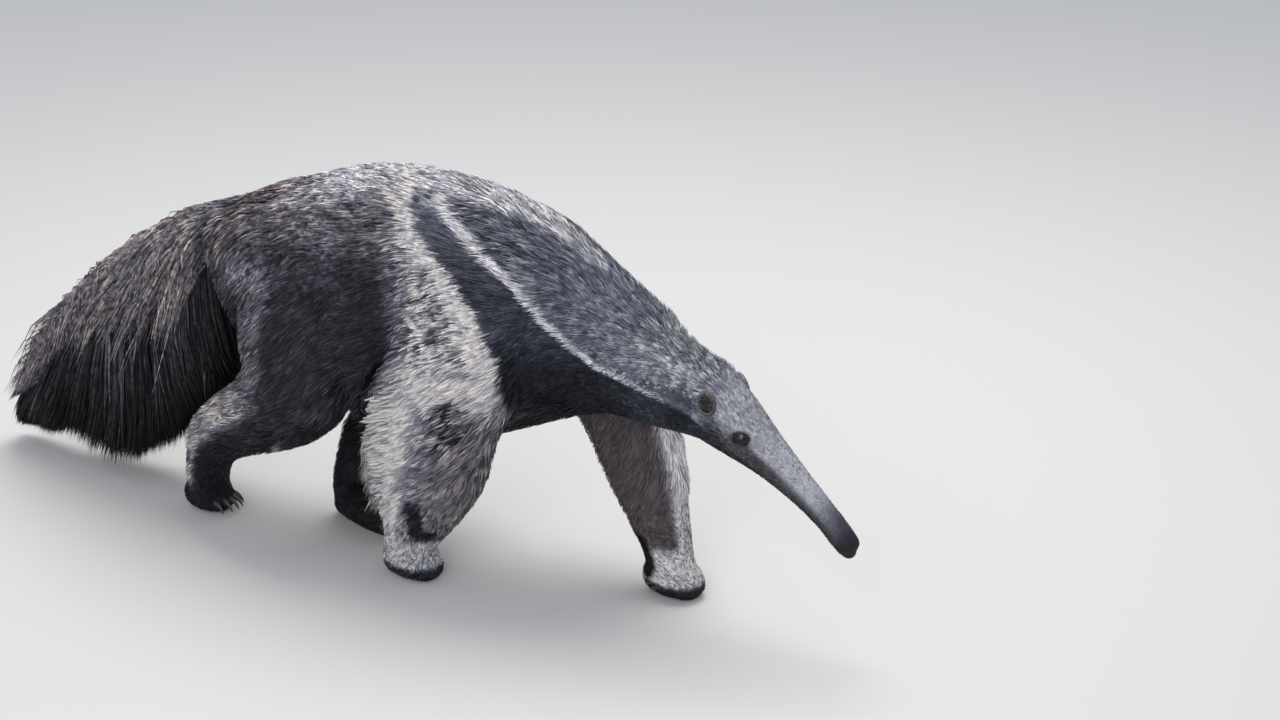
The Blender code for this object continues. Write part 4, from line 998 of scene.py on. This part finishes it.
def blades(name, path, width, facing, spots, fields, roll, look):
    """One mesh of tapered blades along paths of points, each closed to a point at its tip."""
    count, rows = path.shape[0], path.shape[1]
    along = np.gradient(path, axis=1)
    shares = np.linspace(0, 1, rows)
    shape = np.interp(shares, *BLADE_SHAPE)
    vertices = np.zeros((count, 2 * rows - 1, 3))
    for k in range(rows):
        way = unit(along[:, k])
        side = unit(np.cross(way, facing))
        flat = unit(np.cross(side, way))
        edge = side * np.cos(roll)[:, None] + flat * np.sin(roll)[:, None]
        if k == rows - 1:
            vertices[:, 2 * k] = path[:, k]
        else:
            half = (width * shape[k] / 2)[:, None] * edge
            vertices[:, 2 * k] = path[:, k] - half
            vertices[:, 2 * k + 1] = path[:, k] + half
    faces = []
    for k in range(rows - 2):
        a, b, c, d = 2 * k, 2 * k + 1, 2 * k + 2, 2 * k + 3
        faces += [(a, b, d), (a, d, c)]
    faces.append((2 * rows - 4, 2 * rows - 3, 2 * rows - 2))
    per = 2 * rows - 1
    triangles = (np.array(faces)[None] + (np.arange(count) * per)[:, None, None]).reshape(-1, 3)
    vertices = vertices.reshape(-1, 3)
    vertices[:, 2] = np.maximum(vertices[:, 2], BLADE_LOW)
    mesh = bpy.data.meshes.new(name)
    mesh.vertices.add(len(vertices))
    mesh.vertices.foreach_set("co", vertices.astype(np.float32).ravel())
    mesh.loops.add(triangles.size)
    mesh.loops.foreach_set("vertex_index", triangles.astype(np.int32).ravel())
    mesh.polygons.add(len(triangles))
    mesh.polygons.foreach_set("loop_start", np.arange(0, triangles.size, 3, dtype=np.int32))
    mesh.update(calc_edges=True)
    mesh.validate()
    step = np.zeros((per, 2))
    for k in range(rows):
        step[2 * k] = (-0.5 if k < rows - 1 else 0.0, shares[k] - 0.5)
        if k < rows - 1:
            step[2 * k + 1] = (0.5, shares[k] - 0.5)
    places = (spots[:, None] + step[None] * PATCH).reshape(-1, 2)
    layer = mesh.uv_layers.new(name="OFBake")
    layer.data.foreach_set("uv", places[triangles.ravel()].astype(np.float32).ravel())
    obj = bpy.data.objects.new(name, mesh)
    bpy.context.scene.collection.objects.link(obj)
    for key, values in fields.items():
        set_field(obj, key, np.repeat(values, per))
    tipward = np.zeros(per)
    for k in range(rows):
        tipward[2 * k : 2 * k + 2] = shares[k]
    set_field(obj, "tipward", np.tile(tipward, count))
    only(obj)
    bpy.ops.object.shade_smooth()
    obj.data.materials.append(look)
    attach(obj, "root")
    return obj


def lie_of_coat(place):
    """Which way the hair lies, its length and how high its tips stand."""
    x, _, z = place.T
    count = len(place)
    up = np.clip(height_on(TRUNK, x, z), -1, 1)
    rear = ease(0.10, -0.17, x)
    neck = ease(0.40, 0.52, x)
    flow = np.zeros((count, 3))
    flow[:, 0] = -1.0
    flow[:, 2] = -0.10 - 0.28 * ease(0.9, 0.2, up) - 0.45 * rear + 0.34 * neck
    length = 0.040 + 0.018 * rear - 0.012 * ease(0.7, 0.1, up) - 0.022 * neck
    length = length - 0.007 * ease(0.54, 0.64, x)
    height = 0.0135 + 0.002 * rear - 0.005 * ease(0.7, 0.1, up) - 0.0065 * neck
    crest = ease(0.86, 0.98, up) * ease(-0.05, 0.10, x)
    height = height + 0.0045 * crest
    ridge = ease(0.90, 0.985, up) * ease(0.545, 0.585, x) * ease(0.650, 0.615, x)
    height = height + 0.005 * ridge
    length = length + 0.006 * ridge
    belly = ease(-0.35, -0.8, up) * (1 - neck)
    length = length + 0.014 * belly
    height = height + 0.006 * belly
    # Shoulder and upper arm lean down, and the legs' hair runs down them: its lean to the rear,
    # where it starts, and how far its rear fringe flares, stands off and grows longer
    for key, lean, cut, flare, stand, fringe in (
            ("fore_right", 1.05, 0.36, 1.0, 0.030, 0.038),
            ("fore_left", 0.75, 0.36, 0.2, 0.009, 0.008),
            ("hind_right", 0.70, 0.40, 0.0, 0.006, 0.008),
            ("hind_left", 0.70, 0.40, 0.0, 0.006, 0.008)):
        _, ahead, _, axis = on_leg(place, key)
        share = leg_share(place, key, cut + 0.16, cut - 0.08)
        low = ease(0.20, 0.06, z)
        rear_edge = ease(-0.35, -0.80, ahead) * (1 - low)
        swept = lean * (1 - 0.72 * low) + flare * rear_edge
        leg_flow = axis + np.array((-1.0, 0.0, 0.0)) * swept[:, None]
        flow = blend(flow, unit(leg_flow) * 1.1, share[:, None])
        length = blend(length, 0.030 - 0.017 * low + fringe * rear_edge, share)
        height = blend(height, 0.0085 - 0.0055 * low + stand * rear_edge, share)
    foot = ease(0.060, 0.035, z)
    length = blend(length, 0.0085, foot)
    height = blend(height, 0.0018, foot)
    along = along_head(x, z)
    head = ease(-0.015, 0.030, along)
    flow = blend(flow, np.tile(-np.array(HEAD_WAY), (count, 1)), head[:, None])
    length = blend(length, 0.0095 - 0.0062 * ease(0.02, 0.16, along), head)
    height = blend(height, 0.0026 - 0.0018 * ease(0.01, 0.14, along), head)
    return flow, length, height


def led(places, each, chance):
    """Picks one hair in so many to lead a tuft, and finds every hair's nearest leader."""
    heads = chance.choice(len(places), len(places) // each, replace=False)
    tree = KDTree(len(heads))
    for i, head in enumerate(heads):
        tree.insert(places[head], i)
    tree.balance()
    return heads, np.array([tree.find(place)[1] for place in places])


def bent(start, handle, tips, steps):
    """Paths from roots to tips, drawn towards a handle."""
    return (start[:, None] * (1 - steps) ** 2 + handle[:, None] * 2 * steps * (1 - steps)
            + tips[:, None] * steps**2)


def grow(name, zone, look, count, rows, width, seed, clump=0.35, weight=None):
    """Grows one coat over its zone of the skin, of so many tufts with so many rows of points."""
    chance = np.random.default_rng(seed)
    even = weight or (lambda place: np.ones(len(place)))
    roots, normals, spots = sow(bed_of(name, zones == zone), count, chance, even)
    place = roots - shift
    flow, length, height = lie_of_coat(place)
    flow = unit(flow) + 0.20 * noise(place, 0.020, seed + 1) + chance.normal(0, 0.10, (count, 3))
    flow = unit(flow - normals * (flow * normals).sum(axis=1)[:, None])
    length = length * chance.uniform(0.72, 1.22, count)
    height = height * chance.uniform(0.45, 1.25, count)
    tips = roots + flow * length[:, None]
    under_tips, tip_normals = nearest_skin(tips)
    tips = under_tips + tip_normals * height[:, None]
    middles = roots + flow * (0.50 * length)[:, None] + normals * (height * 0.80)[:, None]
    under_middles, middle_normals = nearest_skin(middles)
    middles = under_middles + middle_normals * (height * 0.78)[:, None]
    # Gather the tips of neighbours into tufts
    heads, group = led(roots, 9, chance)
    leader = heads[group]
    pull = (clump * chance.uniform(0.5, 1.0, count))[:, None]
    tips = tips + (tips[leader] + (roots - roots[leader]) * 0.2 - tips) * pull
    middles = middles + (middles[leader] + (roots - roots[leader]) * 0.6 - middles) * pull * 0.6
    start = roots - normals * 0.0008
    steps = np.linspace(0, 1, rows)[None, :, None]
    path = bent(start, 2 * middles - 0.5 * (start + tips), tips, steps)
    path[:, :, 2] = np.maximum(path[:, :, 2], FLOOR_CLEAR)
    light, brown, grizzle = markings(blend(under_middles, under_tips, 0.35) - shift)
    tone = chance.normal(0, 1.0, count)
    tone = np.clip(0.75 * tone + 0.75 * tone[leader], -2, 2)
    light = np.clip(light + grizzle * tone, 0, 1)
    fields = {"light": light, "brown": brown, "shade": chance.random(count)}
    return blades(name, path, width * chance.uniform(0.7, 1.3, count), normals, spots, fields,
                  chance.uniform(-0.55, 0.55, count), look)


def coat_finish(name, dark_roots, pale_tips, gloss, blotched=0.0):
    """Hair in its markings: pale hair darkens to its root, and dark hair pales to its tip."""
    finish = Finish(name, Specular_IOR_Level=gloss)
    tipward, own = finish.field("tipward"), finish.field("shade")
    streaks = finish.mottle(finish.place(), 420.0, 2.0)
    light = finish.field("light")
    root = 1.0 - dark_roots * light
    tip = 1.0 + pale_tips * (1.0 - light)
    shade = (root + (tip - root) * tipward) * (0.66 + 0.40 * own + 0.30 * streaks)
    if blotched:
        shade = shade * finish.node("MapRange", {}, {
            0: finish.mottle(finish.place(), 105.0, 3.0), 1: 0.36, 2: 0.64,
            3: 1.0 - blotched, 4: 1.0 + 1.3 * blotched})
    finish.shows("Base Color", finish.toned(hair_colour(finish), shade))
    finish.shows("Roughness", 0.52 + 0.20 * own)
    return finish.material


body_hair = coat_finish("body_hair", dark_roots=0.54, pale_tips=0.25, gloss=0.14, blotched=0.24)
rump_hair = coat_finish("rump_hair", dark_roots=0.85, pale_tips=1.30, gloss=0.16, blotched=0.45)
grow("coat_back", BACK, body_hair, count=27000, rows=4, width=0.0030, seed=21)
grow("coat_rump", RUMP, rump_hair, count=26000, rows=4, width=0.0034, seed=22,
             clump=0.65)

# ---------------------------------------------------------------------------------------------
# The coat of the flanks and belly: black, close and smooth on the sides, with a longer fringe
# below.
grow("coat_flanks", FLANKS, body_hair, count=30000, rows=4, width=0.0030, seed=23)

# ---------------------------------------------------------------------------------------------
# The coat of the neck: short, dense and finely grizzled, with stiff bristles on its ridge, the
# white stripe down each side, and the black throat.
neck_hair = coat_finish("neck_hair", dark_roots=0.40, pale_tips=0.30, gloss=0.14, blotched=0.24)


def off_ears(place):
    """1 away from the ears and 0 beneath them, where the hair stops."""
    bare = np.ones(len(place))
    for sign in (-1, 1):
        off = np.linalg.norm(place - np.array(ear_middle(sign)[0]), axis=1)
        bare = bare * ease(0.0135, 0.0165, off)
    return bare


grow("coat_neck", NECK, neck_hair, count=34000, rows=3, width=0.0021, seed=24,
             clump=0.25, weight=off_ears)

# ---------------------------------------------------------------------------------------------
# The coat of the forelegs: pale and grizzled, brushed back, with a long fringe down the rear edge,
# and very short on the hands.
leg_hair = coat_finish("leg_hair", dark_roots=0.36, pale_tips=0.30, gloss=0.14)
grow("coat_foreleg_right", FORE_RIGHT, leg_hair, count=24000, rows=4, width=0.0026,
             seed=25, clump=0.5)
grow("coat_foreleg_left", FORE_LEFT, leg_hair, count=20000, rows=4, width=0.0026,
             seed=26, clump=0.5)

# ---------------------------------------------------------------------------------------------
# The coat of the hind legs: black and fairly short, with a pale line of hair down the rear edge.
grow("coat_hindleg_right", HIND_RIGHT, leg_hair, count=20000, rows=4, width=0.0026,
             seed=27)
grow("coat_hindleg_left", HIND_LEFT, leg_hair, count=16000, rows=4, width=0.0026,
             seed=28)

# ---------------------------------------------------------------------------------------------
# The hair of the head: 3 to 9 mm, lying flat and back from the nose, shortest and thinnest at the
# end of the snout, in small single hairs that leave eyes, ears, nose and lips bare.
face_hair = coat_finish("face_hair", dark_roots=0.30, pale_tips=0.20, gloss=0.25)


def face_weight(place):
    """Fewer tufts towards the tip, and none on the eyes, the nose or the lips."""
    x = place[:, 0]
    bare = np.ones(len(place))
    for sign in (-1, 1):
        off = np.linalg.norm(place - np.array(mirrored(EYE, sign)), axis=1)
        bare = bare * ease(0.0095, 0.0125, off)
    return bare * off_ears(place) * (0.25 + 0.75 * ease(0.84, 0.70, x)) * ease(0.880, 0.868, x)


grow("coat_head", FACE, face_hair, count=26000, rows=3, width=0.0013, seed=29,
             clump=0.1, weight=face_weight)

# ---------------------------------------------------------------------------------------------
# The hair of the ears: short pale tufts on the outer side of each cup, swept to its edge, so that
# the rim is soft and stands out against the dark hollow.
EAR_TUFTS = 1400
for side, sign in (("right", -1), ("left", 1)):
    chance = np.random.default_rng(60 + sign)
    middle, high, facing = (np.array(part) for part in ear_middle(sign))
    wide = np.cross(high, facing)
    turn = chance.uniform(0, 2 * math.pi, EAR_TUFTS)
    depth = chance.uniform(-0.10, 0.85, EAR_TUFTS)
    ring = (np.cos(turn)[:, None] * high * EAR_HALF[1] + np.sin(turn)[:, None] * wide * EAR_HALF[0])
    outward = unit(ring)
    roots = (middle + ring * np.sqrt(1 - depth**2)[:, None] * 0.98
             - facing * (EAR_HALF[2] * depth)[:, None])
    length = chance.uniform(0.0035, 0.0065, EAR_TUFTS)
    lean = np.where(chance.random(EAR_TUFTS) < 0.25, -0.45, 0.40)
    way = unit(facing * 0.75 + outward * lean[:, None] + chance.normal(0, 0.22, (EAR_TUFTS, 3)))
    tips = roots + way * length[:, None]
    middles = (roots + tips) / 2 + outward * 0.0007
    path = np.stack([roots, middles, tips], axis=1) + shift
    tuft_light = 0.76 + 0.12 * np.cos(turn) + chance.normal(0, 0.10, EAR_TUFTS)
    fields = {"light": np.clip(tuft_light, 0, 1), "brown": np.full(EAR_TUFTS, 0.15),
              "shade": chance.random(EAR_TUFTS)}
    spots = np.stack([0.05 + 0.9 * turn / (2 * math.pi), 0.1 + 0.8 * depth], axis=1)
    blades("coat_ear_" + side, path, chance.uniform(0.0007, 0.0013, EAR_TUFTS), outward,
                   spots, fields, chance.uniform(-0.5, 0.5, EAR_TUFTS), face_hair)

# ---------------------------------------------------------------------------------------------
# The hair of the tail: a curtain of coarse hair, 150 to 350 mm long, that hangs from both sides of
# the tail nearly to the ground, under a crown of shorter, pale-tipped locks that fall back over it.
TAIL_START, TAIL_REACH = -0.236, 0.364
TAIL_END = -0.705
TAIL_WAVE = 0.013
TAIL_LOW = 0.008  # the lowest that its hair may reach


def hang_tail(name, look, count, rows, width, seed, side=0):
    """Long hair from the tail: one side of the curtain, or with no side the crown's locks."""
    crown = not side
    chance = np.random.default_rng(seed)
    chosen = zones == BRUSH
    if side:
        centre = skin_points[skin_triangles].mean(axis=1)[:, 1] - shift[1]
        chosen = chosen & (centre * side >= -0.006)

    def weight(place):
        up = height_on(TAIL, place[:, 0], place[:, 2])
        on_sides = ease(0.95, 0.55, up) * ease(-1.1, -0.6, up)
        return (ease(-0.25, 0.35, up) if crown else on_sides) * (
            1.0 + 1.2 * ease(-0.50, -0.60, place[:, 0]))

    roots, normals, spots = sow(bed_of(name, chosen), count, chance, weight)
    place = roots - shift
    x, y, z = place.T
    up = height_on(TAIL, x, z)
    share = np.clip((TAIL_START - x) / TAIL_REACH, 0, 1)
    to_side = np.where(np.abs(y) > 0.008, np.sign(y), chance.choice([-1.0, 1.0], count))
    if side:
        to_side = np.full(count, float(side))
    spread = (0.090 * (1 - 0.76 * share)) * chance.uniform(0.02, 1.0, count) ** (0.7 + 0.6 * share)
    if crown:
        flow = np.stack([-0.50 - 0.22 * share, 0.10 * to_side, -0.80 + 0.14 * share], axis=1)
        flow = unit(flow + 0.16 * noise(place, 0.035, seed + 1)
                    + chance.normal(0, 0.05, (count, 3)))
        reach = (0.165 - 0.080 * share) * chance.uniform(0.25, 1.15, count)
        reach = reach * np.where(chance.random(count) < 0.3, 1.55, 1.0)
        stand = 0.011 * chance.uniform(0.4, 1.3, count)
        # Over half of the hair on the very top runs back along it and covers the parting
        on_top = ease(0.50, 0.90, up) * (chance.random(count) < 0.6)
        along_top = np.stack([np.full(count, -0.86), 0.12 * to_side, -0.30 - 0.22 * share], axis=1)
        along_top = unit(along_top + chance.normal(0, 0.06, (count, 3)))
        flow = unit(blend(flow, along_top, on_top[:, None]))
        reach = blend(reach, 0.075 * chance.uniform(0.6, 1.2, count), on_top)
        spread = blend(spread * 0.9 + 0.012, 0.018 * chance.random(count), on_top)
    else:
        flow = np.stack([0.26 - 0.76 * share, np.zeros(count), -1.0 + 0.14 * share], axis=1)
        flow = unit(flow + 0.12 * noise(place, 0.030, seed + 1)
                    + chance.normal(0, 0.050, (count, 3)))
        flow[:, 2] = np.minimum(flow[:, 2], -0.5)
        reach = (0.36 - 0.10 * share) * chance.uniform(0.80, 1.06, count)
        stand = 0.012 * chance.uniform(0.4, 1.2, count)
    # The hair ends above the floor, higher under the rump, and short of the tail's end
    lowest = 0.015 + 0.8 * np.maximum(x + flow[:, 0] * reach + 0.395, 0.0)
    lowest = (lowest + 0.020 * chance.random(count)
              + 0.014 * (1 + noise(place, 0.03, seed + 2)[:, 0]))
    to_end = x - TAIL_END - chance.uniform(0.0, 0.035, count)
    reach = np.minimum(reach, to_end / -np.minimum(flow[:, 0], -0.1))
    reach = np.maximum(np.minimum(reach, (z - lowest) / -flow[:, 2]), 0.02)
    tips = place + flow * reach[:, None]
    tips[:, 1] = to_side * spread
    middles = place + flow * (0.42 * reach)[:, None] + normals * stand[:, None]
    middles[:, 1] = y + (to_side * spread * 1.06 - y) * 0.86
    middles[:, 2] += 0.003 * chance.uniform(0.2, 1.0, count)
    heads, group = led(place, 11 if crown else 12, chance)
    leader = heads[group]
    pull = ((0.72 if crown else 0.55) * chance.uniform(0.6, 1.0, count))[:, None]
    tips = tips + (tips[leader] + (place - place[leader]) * 0.25 - tips) * pull
    middles = middles + (middles[leader] + (place - place[leader]) * 0.7 - middles) * pull * 0.55
    low = 0.012 + 0.8 * np.maximum(tips[:, 0] + 0.395, 0.0)
    tips[:, 2] = np.maximum(tips[:, 2], np.minimum(low, z))
    start = place - normals * 0.001
    handle = blend(middles, 2 * middles - 0.5 * (start + tips), 0.6)
    steps = np.linspace(0, 1, rows)[None, :, None]
    wave = noise(place[leader], 0.05, seed + 5)[:, None] * TAIL_WAVE
    path = bent(start, handle, tips, steps) + wave * np.sin(
        steps * 7.0 + chance.uniform(0, 0.8, (count, 1, 1))) * steps + shift
    path[:, :, 2] = np.maximum(path[:, :, 2], TAIL_LOW)
    tone = np.clip(chance.normal(0, 1, len(heads)), -1.6, 1.6)[group]
    if crown:
        light = (0.68 - 0.20 * share - 0.20 * ease(0.75, 0.0, up) + 0.15 * tone
                 + chance.normal(0, 0.09, count))
        brown = np.clip(0.78 + 0.15 * tone, 0, 1)
    else:
        light = 0.18 + 0.10 * tone + chance.normal(0, 0.05, count)
        brown = np.full(count, 0.70)
    fields = {"light": np.clip(light, 0, 1), "brown": brown, "shade": chance.random(count)}
    facing = np.stack([np.zeros(count), to_side, np.full(count, 0.35)], axis=1)
    return blades(name, path, width * chance.uniform(0.7, 1.3, count), unit(facing), spots, fields,
                  chance.uniform(-0.6, 0.6, count), look)


crown_hair = coat_finish("tail_crown_hair", dark_roots=0.90, pale_tips=1.50, gloss=0.18,
                         blotched=0.65)
curtain_hair = coat_finish("tail_curtain_hair", dark_roots=-4.5, pale_tips=-1.0, gloss=0.13,
                           blotched=0.50)
hang_tail("coat_tail_crown", crown_hair, count=24000, rows=5, width=0.0034, seed=41)
hang_tail("coat_tail_right", curtain_hair, count=18000, rows=6, width=0.0040, seed=42,
                  side=-1)
hang_tail("coat_tail_left", curtain_hair, count=18000, rows=6, width=0.0040, seed=43,
                  side=1)

# ---------------------------------------------------------------------------------------------
# Floor, light and camera: a plain pale floor, one broad soft light above and behind with weak fill,
# and the photo's view from the animal's right, ahead and a little above.
FLOOR_COLOUR = (0.62, 0.60, 0.575, 1)
SKY_COLOUR = (0.80, 0.86, 0.95, 1)
SKY_STRENGTH = 0.80
VIEW_TURN = math.radians(33.0)
VIEW_DROP = math.radians(20.0)
CAMERA_PLACE = Vector((2.698, -3.332, 1.828))
FILM_WIDTH = 36.0
FOCAL_PIXELS, FRAME_PIXELS = 3001.5, 1280

bpy.ops.object.select_all(action="DESELECT")
bpy.ops.mesh.primitive_plane_add(size=60, location=(0, 0, 0))
floor = bpy.context.active_object
floor.name = "floor"
floor_look = Finish("pale_floor", Roughness=0.8)
floor_look.shows("Base Color", FLOOR_COLOUR)
floor.data.materials.append(floor_look.material)

world = bpy.data.worlds.new("studio")
world.use_nodes = True
sky = world.node_tree.nodes["Background"].inputs
sky["Color"].default_value = SKY_COLOUR
sky["Strength"].default_value = SKY_STRENGTH
bpy.context.scene.world = world
bpy.context.scene.view_settings.view_transform = "Standard"


def soft_light(name, place, aim, size, power, colour):
    light = bpy.data.lights.new(name, "AREA")
    light.shape = "DISK"
    light.size = size
    light.energy = power
    light.color = colour
    lamp = bpy.data.objects.new(name, light)
    bpy.context.scene.collection.objects.link(lamp)
    lamp.location = place
    lamp.rotation_euler = (Vector(place) - Vector(aim)).to_track_quat("Z", "Y").to_euler()


soft_light("overhead", (-0.2, 0.9, 3.0), (0, 0, 0.3), 2.2, 68, (1.0, 0.98, 0.95))
soft_light("fill", (1.6, -3.2, 1.8), (0.1, 0, 0.3), 2.0, 52, (0.96, 0.97, 1.0))

right = Vector((math.cos(VIEW_TURN), math.sin(VIEW_TURN), 0))
away = Vector((-math.sin(VIEW_TURN), math.cos(VIEW_TURN), 0))
look = away * math.cos(VIEW_DROP) - Vector((0, 0, 1)) * math.sin(VIEW_DROP)
up = away * math.sin(VIEW_DROP) + Vector((0, 0, 1)) * math.cos(VIEW_DROP)
lens = bpy.data.cameras.new("camera")
lens.sensor_width = FILM_WIDTH
lens.lens = FILM_WIDTH * FOCAL_PIXELS / FRAME_PIXELS
camera = bpy.data.objects.new("camera", lens)
bpy.context.scene.collection.objects.link(camera)
camera.matrix_world = Matrix.Translation(CAMERA_PLACE + SHIFT) @ Matrix(
    (right, up, -look)).transposed().to_4x4()
bpy.context.scene.camera = camera
